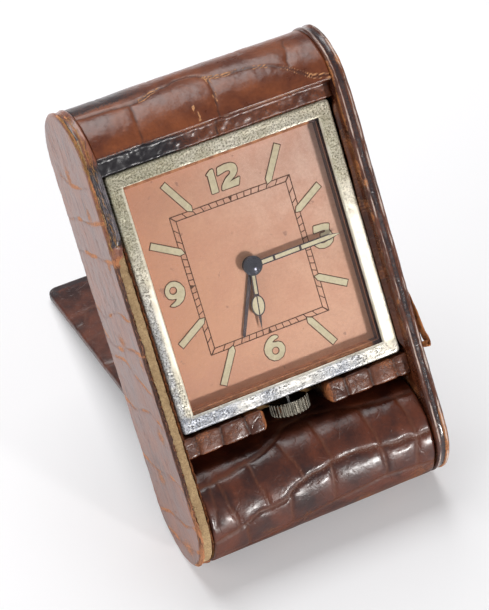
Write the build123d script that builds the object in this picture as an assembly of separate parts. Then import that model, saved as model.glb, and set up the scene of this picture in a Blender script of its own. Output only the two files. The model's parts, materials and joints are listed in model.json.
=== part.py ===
"""Folding travel alarm clock in a crocodile leather case, standing open on its cover.

Millimetres. The clock is built lying on its back in the frame of its own case: +X to the
right of the dial, +Y up the dial, +Z out of the glass, with zero at the middle of the dial
in X and Y and at the hinge plane, half way through the case, in Z. At the end every piece is
leaned back and stood on the floor by the same move.
"""

import os
from math import asin, atan, atan2, cos, degrees, hypot, pi, radians, sin, sqrt

from build123d import *

# How the open clock stands
LEAN_BACK = 39.0                 # degrees from upright
OVERRUN = 2.0                    # how far a cutting body runs past what it cuts
SLIDE_FIT = 0.3                  # clearance round leather parts that move

# Leather and boards of the case
SKIN = 0.7                       # leather on every outside face
OUTER_SKIN = 0.8                 # thicker leather on the two outer cheeks
FLANGE_BOARD = 2.3
FLANGE_LINING = 0.4
SKIN_EDGE_ROUND = 0.5
BACK_BOARD = 1.6
FLANGE_GAP = 1.3                 # between the bezel and a flange
BEZEL_SINK = 3.9                 # how far the bezel lies behind the flanges' front edges
TORN_TOP_DROP = 20.2             # the leather is torn off the left front edge from here down
TORN_BOTTOM_DROP = 8.1           # and to here, past the centre of the lower round end

# Top roll
ROLL_DROP = 0.4                  # the roll lies this far inside the flanges' outline
ROLL_GAP = 0.4                   # between the bezel and the roll
ROLL_CENTRE_RISE = 1.6           # from the roll's foot to the centre of its round
CREASE_RISE = 4.1                # from the roll's foot to the crease where the cover's edge lands
ROLL_STEP_RUN = 0.8              # how far the step under the crease leans
REBATE_DROP = 0.2                # the leather strip over the bezel lies this much below its face

# Rail below the clock, with the notch for the crown
RAIL_GAP = 2.0                   # between the bezel and the rail
RAIL_HEIGHT = 3.6
RAIL_FRONT_DROP = 0.7            # the rail's face lies this far behind the bezel's
RAIL_SLANT_WALL = 2.5
RAIL_ROUND = 1.1
NOTCH_GAP = 3.3                  # beside the crown
NOTCH_BACK_GAP = 0.9             # behind the crown

# Cover with the drum that it turns on
DRUM_DROP = 1.1                  # the drum lies this far inside the flanges' outline
DRUM_GAP = 1.9                   # between the rail and the drum
DRUM_OFFSET = 1.1                # from the centre of the flanges' lower round end
COVER_THICKNESS = 2.3
COVER_LINING = 0.3
COVER_END_GAP = 0.3              # between the closed cover's edge and the step under the crease
COVER_CORNER = 2.5
PIN_RADIUS = 1.5
PIN_DEPTH = 5.0                  # how far each pin reaches into the drum
PIN_BUSH_WALL = 0.8
PIN_FIT = 0.05

# Bezel, glass and dial
BEZEL_SIDE_OVERHANG = 1.0        # past the metal case, at the sides
BEZEL_END_OVERHANG = 2.0         # and at the top and bottom
BEZEL_SIDE_FACE = 4.1            # width of the bezel's face beside the window
BEZEL_END_FACE = 4.55            # and above and below it
BEZEL_DEPTH = 3.8
BEZEL_CORNER = 0.9
BEZEL_ROUND = 0.4
BEZEL_LIP = 0.5                  # metal in front of the glass
GLASS_MARGIN = 0.8               # how far the glass runs under the bezel
GLASS_THICKNESS = 0.9
GLASS_FIT = 0.1
DIAL_RECESS = 4.25               # from the bezel's face to the dial
DIAL_THICKNESS = 0.4
DIAL_FOOT_RADIUS = 0.6
DIAL_FOOT_INSET = 3.7
DIAL_FOOT_RISE = 9.0

# Painted hour marks
MARK_HEIGHT = 0.12
BATON_WIDTH = 1.5
BATON_STEEP_IN_SHARES = (0.402, 0.622)     # ends of the batons at 1, 5, 7 and 11, in half windows
BATON_STEEP_OUT_SHARES = (0.598, 0.908)
BATON_FLAT_IN_SHARES = (0.598, 0.300)      # ends of the batons at 2, 4, 8 and 10
BATON_FLAT_OUT_SHARES = (0.888, 0.452)

# Metal case of the clock
BODY_WALL = 0.8
LEDGE_WALL = 2.0                 # thicker wall behind the movement's front plate
CASE_BACK = 0.8

# Movement plates
PLATE_FIT = 0.1
PLATE_RIM = 0.24                 # of plate past the widest wheel
PLATE_SIDE_GAP = 3.0             # between the back plate and the metal case
MOTION_SPACE = 2.25              # between the front plate and the dial
FRONT_PLATE = 1.4
BACK_PLATE = 1.2
PILLAR_RADIUS = 1.6
PILLAR_INSET = 3.0
SCREW_RADIUS = 0.7
SCREW_HEAD_RADIUS = 1.3
SCREW_HEAD = 0.6
SCREW_SLOT = 0.3
SCREW_DEPTH = 2.0                # thread in the pillar

# Wheels: modules, tooth counts and the bearings of the train
TRAIN_MODULE = 0.30
FAST_MODULE = 0.25
MOTION_MODULE = 0.25
HOUR_MODULE = 0.24
BARREL_TEETH = 80
CENTRE_PINION_TEETH = 10
CENTRE_TEETH = 72
THIRD_PINION_TEETH = 8
THIRD_TEETH = 60
FOURTH_PINION_TEETH = 8
FOURTH_TEETH = 56
ESCAPE_PINION_TEETH = 7
ESCAPE_TEETH = 15
CANNON_TEETH = 12
MINUTE_WHEEL_TEETH = 36
MINUTE_PINION_TEETH = 10
HOUR_TEETH = 40
BARREL_BEARING = 138.0           # degrees, direction from one arbor to the next
THIRD_BEARING = 45.0
FOURTH_BEARING = -46.0
ESCAPE_BEARING = -101.0
PALLET_BEARING = -147.0
BALANCE_BEARING = -139.0
MINUTE_WHEEL_BEARING = -145.0
ALARM_BARREL_BEARING = -93.15
WHEEL_THICKNESS = 0.5
PINION_LENGTH = 1.5
ARBOR_RADIUS = 0.5
PIVOT_RADIUS = 0.25
PIVOT_LENGTH = 0.9
PIVOT_FIT = 0.05
SHAKE = 0.1                      # end play of an arbor between the plates
TOOTH_TIP = 0.75                 # of the module
TOOTH_ROOT = 1.2                 # of the module
TOOTH_SHARE = 0.36               # of the pitch, at the pitch circle
TIP_SHARE = 0.16
ARM_TEETH_SHARES = 2.0           # modules between a wheel's tooth roots and its windows

# Heights above the back plate's inner face
BARREL_LEVEL = 0.5
BARREL_TOOTH_HEIGHT = 1.2
BARREL_HEIGHT = 5.0
CENTRE_LEVEL_GAP = 0.7           # from the barrel to the centre wheel
BALANCE_RISE = 1.1               # from the centre wheel
THIRD_RISE = 1.8                 # from the centre wheel
HEADROOM = 1.7                   # between the third wheel and the front plate
FOURTH_LEVEL = 3.8
ESCAPE_RISE = 1.6                # from the fourth wheel
HAIRSPRING_LEVEL = 2.8

# Barrels and their springs
BARREL_RIM_INSET = 1.2
BARREL_WALL = 0.7
BARREL_ARBOR_RADIUS = 1.2
BARREL_GAP = 0.84                # between the two barrels
ALARM_BARREL_RADIUS = 8.2
RATCHET_RADIUS = 5.0
RATCHET_TEETH = 30
RATCHET_ROOT_SHARE = 0.88        # of the ratchet's radius
RATCHET_THICKNESS = 0.6
RATCHET_GAP = 1.4                # between a ratchet and the case back
SPRING_LEAF = 0.35
SPRING_TURNS = 6
SPIRAL_STEPS = 20                # straight steps in one turn of a spring

# Escapement and balance
ESCAPE_RADIUS = 4.0
ESCAPE_ROOT_SHARE = 0.75         # of the escape wheel's radius
ESCAPE_TOOTH_SHARES = (0.2, 0.34, 0.5)   # of the pitch: front of the tip, back of the tip, root
ESCAPE_FIT = 0.45
PALLET_ARM = 1.0
PALLET_LENGTH = 5.2
PALLET_SPREAD = 50.0             # degrees from the pallet arbor to each stone, round the wheel
BALANCE_REACH = 4.1              # from the fork's tip to the balance staff
BALANCE_RADIUS = 6.6
BALANCE_RIM = 1.1
BALANCE_HEIGHT = 0.9
HAIRSPRING_LEAF = 0.12
HAIRSPRING_TURNS = 9
HAIRSPRING_INNER = 0.8
HAIRSPRING_OUTER = 3.0
HAIRSPRING_HEIGHT = 0.5

# Alarm work
HAMMER_DROP = 3.0                # from the alarm barrel's edge to the hammer's arbor
HAMMER_SHIFT = 8.8               # from the alarm barrel's arbor, to the right
HAMMER_ARM = 13.0
HAMMER_HEAD_RADIUS = 1.2
HAMMER_WIDTH = 1.1
HAMMER_LEVEL = 2.6
HAMMER_HEIGHT = 1.4
HAMMER_LIFT = 2.05               # between the resting hammer and the gong
GONG_RADIUS = 0.45
GONG_GAP = 0.65                  # on both sides of the gong
GONG_INSET = 3.0                 # from the back plate's sides
GONG_BLOCK = 2.2
ALARM_WHEEL_RADIUS = 5.2
ALARM_WHEEL_THICKNESS = 0.35
ALARM_WHEEL_GAP = 0.12           # under the dial

# Tubes and hands on the centre
TUBE_WALL = 0.3
TUBE_FIT = 0.06
CENTRE_ARBOR_RADIUS = 0.45
ALARM_HAND_LIFT = 0.35           # undersides above the dial
HOUR_HAND_LIFT = 0.9
MINUTE_HAND_LIFT = 1.5
HAND_THICKNESS = 0.15
MINUTE_HAND_GAP = 1.4            # between its tip and the window's side
MINUTE_HAND_WIDTH = 1.5
MINUTE_HAND_FRAME = 0.3
MINUTE_BARS = (5.7, 12.7)
HOUR_HAND_REACH = 15.9
HOUR_HAND_WIDTH = 1.3
HOUR_RING_REACH = 9.8
HOUR_RING_HALF_WIDTH = 1.75
HOUR_RING_HALF_LENGTH = 2.55
ALARM_HAND_REACH = 17.6
ALARM_HAND_WIDTH = 0.9
HAND_BOSS_RADIUS = 2.2
HUB_RADIUS = 2.4
HUB_HEIGHT = 1.0
HUB_COLLAR = 0.35
MINUTE_ANGLE = 90.0              # clockwise from twelve
HOUR_ANGLE = 187.5
ALARM_ANGLE = 203.0

# Crown and stem
CROWN_RADIUS = 4.9
CROWN_LENGTH = 3.3
CROWN_RIBS = 30
CROWN_RIB_DEPTH = 0.35
CROWN_EDGE = 0.35
STEM_RADIUS = 0.5
STEM_LENGTH = 18.0               # from the crown's inner face into the movement
STEM_GROOVE_RADIUS = 0.3
STEM_GROOVE_WIDTH = 0.7
STEM_FIT = 0.05
STEM_TUBE_WALL = 0.8
STEM_TUBE_STAND = 1.8            # how far the tube stands out of the metal case
SLEEVE_RADIUS = 1.0
SLEEVE_LENGTH = 3.0
LEVER_THICKNESS = 0.6
LEVER_HALF_WIDTH = 3.0
STEM_BLOCK_HALF_WIDTH = 2.0
STEM_BLOCK_LENGTH = 3.0
STEM_PULL = 0.5


def along(start, bearing, reach):
    """The point that lies a given reach from a start, in a given bearing in degrees."""
    return (start[0] + reach * cos(radians(bearing)), start[1] + reach * sin(radians(bearing)))


def mesh_distance(module, teeth_a, teeth_b):
    """Distance between the arbors of two wheels that mesh."""
    return module * (teeth_a + teeth_b) / 2


def tip_radius(module, teeth):
    """Radius over the tips of a wheel's teeth."""
    return module * teeth / 2 + TOOTH_TIP * module


def mesh_phase(bearing, teeth_a, teeth_b):
    """Turn of a second wheel whose tooth gap meets the first wheel's tooth.

    The first wheel has a tooth along +X, and the second lies in the given bearing from it.
    """
    passed = bearing * teeth_a / 360.0
    return bearing + 180.0 + (passed - 1 / 2) * 360.0 / teeth_b


# Places of the arbors, seen from the dial
CENTRE = (0.0, 0.0)
BARREL_AT = along(CENTRE, BARREL_BEARING, mesh_distance(TRAIN_MODULE, BARREL_TEETH, CENTRE_PINION_TEETH))
THIRD_AT = along(CENTRE, THIRD_BEARING, mesh_distance(TRAIN_MODULE, CENTRE_TEETH, THIRD_PINION_TEETH))
FOURTH_AT = along(THIRD_AT, FOURTH_BEARING, mesh_distance(TRAIN_MODULE, THIRD_TEETH, FOURTH_PINION_TEETH))
ESCAPE_AT = along(FOURTH_AT, ESCAPE_BEARING, mesh_distance(FAST_MODULE, FOURTH_TEETH, ESCAPE_PINION_TEETH))
PALLET_SPAN = ESCAPE_RADIUS + ESCAPE_FIT + ARBOR_RADIUS + ARBOR_RADIUS / 2
PALLET_AT = along(ESCAPE_AT, PALLET_BEARING, PALLET_SPAN)
BALANCE_AT = along(PALLET_AT, BALANCE_BEARING, PALLET_LENGTH + BALANCE_REACH)
MINUTE_WHEEL_AT = along(
    CENTRE, MINUTE_WHEEL_BEARING, mesh_distance(MOTION_MODULE, CANNON_TEETH, MINUTE_WHEEL_TEETH)
)
BARREL_TIP = tip_radius(TRAIN_MODULE, BARREL_TEETH)
ALARM_BARREL_AT = along(BARREL_AT, ALARM_BARREL_BEARING, BARREL_TIP + ALARM_BARREL_RADIUS + BARREL_GAP)
HAMMER_AT = (ALARM_BARREL_AT[0] + HAMMER_SHIFT, ALARM_BARREL_AT[1] - ALARM_BARREL_RADIUS - HAMMER_DROP)
GONG_Y = HAMMER_AT[1] - HAMMER_HEAD_RADIUS - HAMMER_LIFT - GONG_RADIUS
ARBORS = (THIRD_AT, FOURTH_AT, ESCAPE_AT, PALLET_AT, BALANCE_AT, HAMMER_AT)
BARRELS = (BARREL_AT, ALARM_BARREL_AT)

# Levels of the wheels
CENTRE_LEVEL = BARREL_LEVEL + BARREL_HEIGHT + CENTRE_LEVEL_GAP
THIRD_LEVEL = CENTRE_LEVEL + THIRD_RISE
BALANCE_LEVEL = CENTRE_LEVEL + BALANCE_RISE
ESCAPE_LEVEL = FOURTH_LEVEL + ESCAPE_RISE
PLATE_GAP = THIRD_LEVEL + WHEEL_THICKNESS + HEADROOM

# The plates take in the wheels, the metal case takes in the plates, and the bezel covers it
FOURTH_TIP = tip_radius(FAST_MODULE, FOURTH_TEETH)
PLATE_HALF_W = max(BARREL_TIP - BARREL_AT[0], FOURTH_AT[0] + FOURTH_TIP) + PLATE_RIM
PLATE_HALF_H = -GONG_Y - GONG_RADIUS - GONG_GAP
BODY_HALF_W = PLATE_HALF_W + PLATE_SIDE_GAP + LEDGE_WALL
BODY_HALF_H = -GONG_Y + GONG_RADIUS + GONG_GAP + LEDGE_WALL
BEZEL_HALF_W = BODY_HALF_W + BEZEL_SIDE_OVERHANG
BEZEL_HALF_H = BODY_HALF_H + BEZEL_END_OVERHANG
WINDOW_HALF_W = BEZEL_HALF_W - BEZEL_SIDE_FACE
WINDOW_HALF_H = BEZEL_HALF_H - BEZEL_END_FACE
GLASS_HALF_W = WINDOW_HALF_W + GLASS_MARGIN
GLASS_HALF_H = WINDOW_HALF_H + GLASS_MARGIN
MINUTE_HAND_REACH = WINDOW_HALF_W - MINUTE_HAND_GAP

# Depths, from the front of the flanges to their back
CLOCK_DEPTH = DIAL_RECESS + DIAL_THICKNESS + MOTION_SPACE + FRONT_PLATE + PLATE_GAP + BACK_PLATE
BACK_DEPTH = SHAKE + RATCHET_THICKNESS + RATCHET_GAP + CASE_BACK + BACK_BOARD + SKIN
FLANGE_RADIUS = (BEZEL_SINK + CLOCK_DEPTH + BACK_DEPTH) / 2
BEZEL_FRONT_Z = FLANGE_RADIUS - BEZEL_SINK
GLASS_FRONT_Z = BEZEL_FRONT_Z - BEZEL_LIP
GLASS_BACK_Z = GLASS_FRONT_Z - GLASS_THICKNESS
BEZEL_BACK_Z = BEZEL_FRONT_Z - BEZEL_DEPTH
DIAL_FRONT_Z = BEZEL_FRONT_Z - DIAL_RECESS
DIAL_BACK_Z = DIAL_FRONT_Z - DIAL_THICKNESS
FRONT_PLATE_FRONT_Z = DIAL_BACK_Z - MOTION_SPACE
FRONT_PLATE_BACK_Z = FRONT_PLATE_FRONT_Z - FRONT_PLATE
BACK_PLATE_FRONT_Z = FRONT_PLATE_BACK_Z - PLATE_GAP
BACK_PLATE_BACK_Z = BACK_PLATE_FRONT_Z - BACK_PLATE
RATCHET_FOOT_Z = BACK_PLATE_BACK_Z - SHAKE - RATCHET_THICKNESS
BACK_Z = -FLANGE_RADIUS
BACK_BOARD_BACK_Z = BACK_Z + SKIN
BACK_BOARD_FRONT_Z = BACK_BOARD_BACK_Z + BACK_BOARD
CASE_BACK_FRONT_Z = BACK_BOARD_FRONT_Z + CASE_BACK
RAIL_FRONT_Z = BEZEL_FRONT_Z - RAIL_FRONT_DROP
REBATE_Z = BEZEL_FRONT_Z - REBATE_DROP
CROWN_Z = FRONT_PLATE_FRONT_Z + SLEEVE_RADIUS
ARBOR_FOOT_Z = BACK_PLATE_FRONT_Z + SHAKE
ARBOR_HEAD_Z = FRONT_PLATE_BACK_Z - SHAKE

# The case round the bezel
FLANGE_INNER_X = BEZEL_HALF_W + FLANGE_GAP
BOARD_INNER_X = FLANGE_INNER_X + FLANGE_LINING
BOARD_OUTER_X = BOARD_INNER_X + FLANGE_BOARD
CASE_HALF_WIDTH = BOARD_OUTER_X + OUTER_SKIN
BOARD_RADIUS = FLANGE_RADIUS - SKIN
ROLL_RADIUS = FLANGE_RADIUS - ROLL_DROP
ROLL_Z = ROLL_RADIUS - FLANGE_RADIUS
ROLL_FOOT_Y = BEZEL_HALF_H + ROLL_GAP
CREASE_Y = ROLL_FOOT_Y + CREASE_RISE
FLANGE_TOP_Y = ROLL_FOOT_Y + ROLL_CENTRE_RISE
RAIL_TOP_Y = -BEZEL_HALF_H - RAIL_GAP
RAIL_BOTTOM_Y = RAIL_TOP_Y - RAIL_HEIGHT
DRUM_RADIUS = FLANGE_RADIUS - DRUM_DROP
DRUM_AXIS_Y = RAIL_BOTTOM_Y - DRUM_GAP - DRUM_RADIUS
FLANGE_BOTTOM_Y = DRUM_AXIS_Y + DRUM_OFFSET
TORN_TOP_Y = FLANGE_TOP_Y - TORN_TOP_DROP
TORN_BOTTOM_Y = FLANGE_BOTTOM_Y - TORN_BOTTOM_DROP
NOTCH_HALF_WIDTH = CROWN_RADIUS + NOTCH_GAP
NOTCH_BACK_Z = CROWN_Z - CROWN_RADIUS - NOTCH_BACK_GAP
CROWN_END_Y = RAIL_BOTTOM_Y
CROWN_INNER_Y = CROWN_END_Y + CROWN_LENGTH

# The cover, and how far it opens before its edge stands on the floor
COVER_HALF_WIDTH = FLANGE_INNER_X - SLIDE_FIT
COVER_LENGTH = CREASE_Y - ROLL_STEP_RUN - COVER_END_GAP - DRUM_AXIS_Y
COVER_INNER_Z = DRUM_RADIUS - COVER_THICKNESS
AXIS_HEIGHT = FLANGE_RADIUS - DRUM_OFFSET * cos(radians(LEAN_BACK))
COVER_DIAGONAL = hypot(COVER_LENGTH, COVER_INNER_Z)
COVER_SLOPE = degrees(asin(AXIS_HEIGHT / COVER_DIAGONAL) + atan(COVER_INNER_Z / COVER_LENGTH))
OPEN_ANGLE = 90.0 - LEAN_BACK + COVER_SLOPE      # between the case's back and the open cover
CLOSING_TURN = 360.0 - OPEN_ANGLE
SLANT = radians(OPEN_ANGLE)


def box(x0, x1, y0, y1, z0, z1):
    """A box between two corners."""
    middle = ((x0 + x1) / 2, (y0 + y1) / 2, (z0 + z1) / 2)
    return Pos(*middle) * Box(x1 - x0, y1 - y0, z1 - z0)


def block(half_w, half_h, z0, z1):
    """A box centred on the dial's axis."""
    return box(-half_w, half_w, -half_h, half_h, z0, z1)


def disc(radius, z0, z1, at=CENTRE):
    """A round plate or rod along Z."""
    return Pos(at[0], at[1], (z0 + z1) / 2) * Cylinder(radius, z1 - z0)


def rod_y(radius, y0, y1, z):
    """A round rod along Y on the middle of the case."""
    return Pos(0, (y0 + y1) / 2, z) * Rot(90, 0, 0) * Cylinder(radius, y1 - y0)


def rod_x(radius, x0, x1, y, z):
    """A round rod along X."""
    return Pos((x0 + x1) / 2, y, z) * Rot(0, 90, 0) * Cylinder(radius, x1 - x0)


def slice_x(face_lines, x0, x1):
    """A closed outline in the Y-Z plane, drawn out along X."""
    face = Plane.YZ.offset(x0) * make_face(face_lines)
    return extrude(face, x1 - x0, dir=(1, 0, 0))


def prism_x(points, x0, x1):
    """A polygon of (y, z) points drawn out along X."""
    return slice_x(Polyline(*points, close=True), x0, x1)


def stadium(radius, x0, x1):
    """The outline of a side flange, at a given radius, drawn out along X."""
    top = FLANGE_TOP_Y
    bottom = FLANGE_BOTTOM_Y
    outline = [
        Line((bottom, radius), (top, radius)),
        ThreePointArc((top, radius), (top + radius, 0), (top, -radius)),
        Line((top, -radius), (bottom, -radius)),
        ThreePointArc((bottom, -radius), (bottom - radius, 0), (bottom, radius)),
    ]
    return slice_x(Curve() + outline, x0, x1)


def solids(*pieces):
    """Several separate solids kept together as one node."""
    found = []
    for piece in pieces:
        found.extend(piece.solids())
    return Compound(children=found)


def both_sides(maker):
    """One piece on the right and its mirror image on the left."""
    right = maker()
    return right, mirror(right, about=Plane.YZ)


def pin_hole(radius):
    """A cut for a hinge pin through one right-hand flange."""
    return rod_x(radius, FLANGE_INNER_X - OVERRUN, CASE_HALF_WIDTH + OVERRUN, DRUM_AXIS_Y, 0)


def flange_board():
    """Stiff board inside one flange, with the hole that carries its hinge pin."""
    pin_seat = rod_x(PIN_RADIUS, BOARD_INNER_X - OVERRUN, BOARD_OUTER_X + OVERRUN, DRUM_AXIS_Y, 0)
    return stadium(BOARD_RADIUS, BOARD_INNER_X, BOARD_OUTER_X) - pin_seat


def flange_leather():
    """Leather over the cheek and the rim of one flange."""
    whole = stadium(FLANGE_RADIUS, BOARD_INNER_X, CASE_HALF_WIDTH)
    outer_edges = whole.faces().sort_by(Axis.X)[-1].edges()
    whole = fillet(outer_edges, SKIN_EDGE_ROUND)
    return whole - stadium(BOARD_RADIUS, BOARD_INNER_X - OVERRUN, BOARD_OUTER_X)


def torn_edge():
    """What is missing of the left flange's rim leather, with the board showing."""
    return box(
        -BOARD_OUTER_X, -BOARD_INNER_X + OVERRUN, TORN_BOTTOM_Y, TORN_TOP_Y, 0, FLANGE_RADIUS + OVERRUN
    )


def flange_lining():
    """Thin leather on the inner face of one flange."""
    return stadium(FLANGE_RADIUS, FLANGE_INNER_X, BOARD_INNER_X) - pin_hole(PIN_RADIUS)


def roll_block(skin):
    """The top roll between the flanges, with its outside faces drawn in by a skin."""
    radius = ROLL_RADIUS - skin
    crease_y = CREASE_Y + skin
    crease_z = ROLL_Z + sqrt(radius ** 2 - (crease_y - FLANGE_TOP_Y) ** 2)
    step_y = crease_y - ROLL_STEP_RUN
    rebate_z = REBATE_Z - skin
    back_z = BACK_Z + skin
    top = (FLANGE_TOP_Y + radius, ROLL_Z)
    outline = [
        Line((ROLL_FOOT_Y, rebate_z), (step_y, rebate_z)),
        Line((step_y, rebate_z), (crease_y, crease_z)),
        ThreePointArc((crease_y, crease_z), top, (FLANGE_TOP_Y, back_z)),
        Line((FLANGE_TOP_Y, back_z), (ROLL_FOOT_Y, back_z)),
        Line((ROLL_FOOT_Y, back_z), (ROLL_FOOT_Y, rebate_z)),
    ]
    return slice_x(Curve() + outline, -FLANGE_INNER_X, FLANGE_INNER_X)


def slant_y(z, lift):
    """Height of the plane that the open cover stops against, raised by a lift."""
    return DRUM_AXIS_Y + (DRUM_RADIUS + SLIDE_FIT + lift - z * cos(SLANT)) / sin(SLANT)


def slant_z(y, lift):
    """Depth at which that plane reaches a given height."""
    return (DRUM_RADIUS + SLIDE_FIT + lift - (y - DRUM_AXIS_Y) * sin(SLANT)) / cos(SLANT)


def rail_block(skin):
    """The rail under the clock: a flat lip in front, slanted behind to stop the cover."""
    bottom = RAIL_BOTTOM_Y + skin
    top = RAIL_TOP_Y - skin
    front = RAIL_FRONT_Z - skin
    inner = RAIL_SLANT_WALL
    points = [
        (top, front),
        (bottom, front),
        (bottom, slant_z(bottom, skin)),
        (slant_y(BACK_BOARD_BACK_Z, skin), BACK_BOARD_BACK_Z),
        (slant_y(BACK_BOARD_BACK_Z, inner), BACK_BOARD_BACK_Z),
        (top, slant_z(top, inner)),
    ]
    return prism_x(points, -FLANGE_INNER_X, FLANGE_INNER_X)


def crown_notch(skin):
    """The gap in the rail that leaves room for fingers on the crown."""
    half = NOTCH_HALF_WIDTH + skin
    back = NOTCH_BACK_Z - skin
    return box(-half, half, RAIL_BOTTOM_Y - OVERRUN, RAIL_TOP_Y + OVERRUN, back, RAIL_FRONT_Z + OVERRUN)


def rail_core():
    """Wooden rail inside its leather."""
    return rail_block(SKIN) - crown_notch(SKIN)


def rail_leather():
    """Leather round the rail, rounded along its front."""
    whole = rail_block(0) - crown_notch(0)
    front_edges = whole.edges().filter_by(Axis.X).group_by(Axis.Z)[-1]
    return fillet(front_edges, RAIL_ROUND) - rail_core()


def back_board():
    """Board of the case's flat back."""
    lower = slant_y(BACK_BOARD_BACK_Z, RAIL_SLANT_WALL)
    return box(-FLANGE_INNER_X, FLANGE_INNER_X, lower, ROLL_FOOT_Y, BACK_BOARD_BACK_Z, BACK_BOARD_FRONT_Z)


def back_leather():
    """Leather over the flat back."""
    points = [
        (slant_y(BACK_Z, 0), BACK_Z),
        (ROLL_FOOT_Y, BACK_Z),
        (ROLL_FOOT_Y, BACK_BOARD_BACK_Z),
        (slant_y(BACK_BOARD_BACK_Z, 0), BACK_BOARD_BACK_Z),
    ]
    return prism_x(points, -FLANGE_INNER_X, FLANGE_INNER_X)


def cover_slab(z0, z1, inset):
    """A layer of the closed cover, above the drum's axis."""
    half = COVER_HALF_WIDTH - inset
    y0 = DRUM_AXIS_Y
    y1 = DRUM_AXIS_Y + COVER_LENGTH - inset
    slab = box(-half, half, y0, y1, z0, z1)
    corners = slab.edges().filter_by(Axis.Z).group_by(Axis.Y)[-1]
    return fillet(corners, COVER_CORNER - inset)


def pin_bore():
    """The space that the pins and their bushes take out of the drum."""
    radius = PIN_RADIUS + PIN_FIT + PIN_BUSH_WALL
    deep = COVER_HALF_WIDTH - PIN_DEPTH
    right = rod_x(radius, deep, COVER_HALF_WIDTH + OVERRUN, DRUM_AXIS_Y, 0)
    left = rod_x(radius, -COVER_HALF_WIDTH - OVERRUN, -deep, DRUM_AXIS_Y, 0)
    return right + left


def drum_core():
    """Wooden drum that the cover turns on."""
    drum = rod_x(DRUM_RADIUS - SKIN, -COVER_HALF_WIDTH, COVER_HALF_WIDTH, DRUM_AXIS_Y, 0)
    seat = box(
        -COVER_HALF_WIDTH - OVERRUN, COVER_HALF_WIDTH + OVERRUN,
        DRUM_AXIS_Y, DRUM_AXIS_Y + DRUM_RADIUS, COVER_INNER_Z + COVER_LINING, DRUM_RADIUS,
    )
    return drum - seat - pin_bore()


def drum_bushes():
    """Brass bushes that line the drum's two pin holes."""
    deep = COVER_HALF_WIDTH - PIN_DEPTH
    outer = rod_x(PIN_RADIUS + PIN_FIT + PIN_BUSH_WALL, deep, COVER_HALF_WIDTH, DRUM_AXIS_Y, 0)
    bore = rod_x(PIN_RADIUS + PIN_FIT, deep - OVERRUN, COVER_HALF_WIDTH + OVERRUN, DRUM_AXIS_Y, 0)
    bush = outer - bore
    return solids(bush, mirror(bush, about=Plane.YZ))


def hinge_pins():
    """Steel pins fixed in the two flanges, one at each end of the drum."""
    pin = rod_x(PIN_RADIUS, COVER_HALF_WIDTH - PIN_DEPTH + PIN_FIT, BOARD_OUTER_X, DRUM_AXIS_Y, 0)
    return solids(pin, mirror(pin, about=Plane.YZ))


def cover_board():
    """Thin stiff board inside the cover, let into the drum."""
    return cover_slab(COVER_INNER_Z + COVER_LINING, DRUM_RADIUS - SKIN, SKIN)


def lining_start_y():
    """Where the cover's inner face leaves the drum."""
    return DRUM_AXIS_Y + sqrt(DRUM_RADIUS ** 2 - COVER_INNER_Z ** 2)


def cover_lining():
    """Lining on the cover's inner face, from the drum to its free edge."""
    slab = cover_slab(COVER_INNER_Z, COVER_INNER_Z + COVER_LINING, SKIN)
    half = COVER_HALF_WIDTH + OVERRUN
    drum_side = box(-half, half, DRUM_AXIS_Y - OVERRUN, lining_start_y(), 0, DRUM_RADIUS + OVERRUN)
    return slab - drum_side


def cover_leather():
    """One piece of leather round the drum and over the cover's outer face and edges."""
    half = COVER_HALF_WIDTH
    tube = rod_x(DRUM_RADIUS, -half, half, DRUM_AXIS_Y, 0)
    tube -= rod_x(DRUM_RADIUS - SKIN, -half - OVERRUN, half + OVERRUN, DRUM_AXIS_Y, 0)
    seat = box(
        -half - OVERRUN, half + OVERRUN, DRUM_AXIS_Y, DRUM_AXIS_Y + DRUM_RADIUS,
        COVER_INNER_Z + COVER_LINING, DRUM_RADIUS - SKIN,
    )
    skin = cover_slab(COVER_INNER_Z, DRUM_RADIUS, 0)
    skin -= cover_slab(COVER_INNER_Z - OVERRUN, DRUM_RADIUS - SKIN, SKIN)
    drum_side = box(
        -half - OVERRUN, half + OVERRUN, DRUM_AXIS_Y - OVERRUN, lining_start_y(),
        0, COVER_INNER_Z + COVER_LINING,
    )
    return (tube - seat) + (skin - drum_side)


def bezel():
    """Nickel frame round the glass, with the glass seat cut from behind."""
    frame = block(BEZEL_HALF_W, BEZEL_HALF_H, BEZEL_BACK_Z, BEZEL_FRONT_Z)
    frame = fillet(frame.edges().filter_by(Axis.Z), BEZEL_CORNER)
    frame = fillet(frame.faces().sort_by(Axis.Z)[-1].edges(), BEZEL_ROUND)
    window = block(WINDOW_HALF_W, WINDOW_HALF_H, BEZEL_BACK_Z - OVERRUN, BEZEL_FRONT_Z + OVERRUN)
    seat = block(GLASS_HALF_W + GLASS_FIT, GLASS_HALF_H + GLASS_FIT, BEZEL_BACK_Z - OVERRUN, GLASS_FRONT_Z)
    return frame - window - seat


def glass():
    """Flat crystal behind the bezel's lip."""
    return block(GLASS_HALF_W, GLASS_HALF_H, GLASS_BACK_Z, GLASS_FRONT_Z)


def dial_frame():
    """Brass distance frame that holds the glass away from the dial."""
    outer = block(GLASS_HALF_W, GLASS_HALF_H, DIAL_FRONT_Z, GLASS_BACK_Z)
    return outer - block(WINDOW_HALF_W, WINDOW_HALF_H, DIAL_FRONT_Z - OVERRUN, GLASS_BACK_Z + OVERRUN)


def dial():
    """Dial plate with the centre hole and two feet that stand on the front plate."""
    plate = block(GLASS_HALF_W, GLASS_HALF_H, DIAL_BACK_Z, DIAL_FRONT_Z)
    for side in (-1, 1):
        at = (side * (GLASS_HALF_W - DIAL_FOOT_INSET), -side * DIAL_FOOT_RISE)
        plate += disc(DIAL_FOOT_RADIUS, FRONT_PLATE_FRONT_Z, DIAL_BACK_Z, at)
    return plate - disc(tube_radius(2) + TUBE_FIT, DIAL_BACK_Z - OVERRUN, DIAL_FRONT_Z + OVERRUN)


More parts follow.
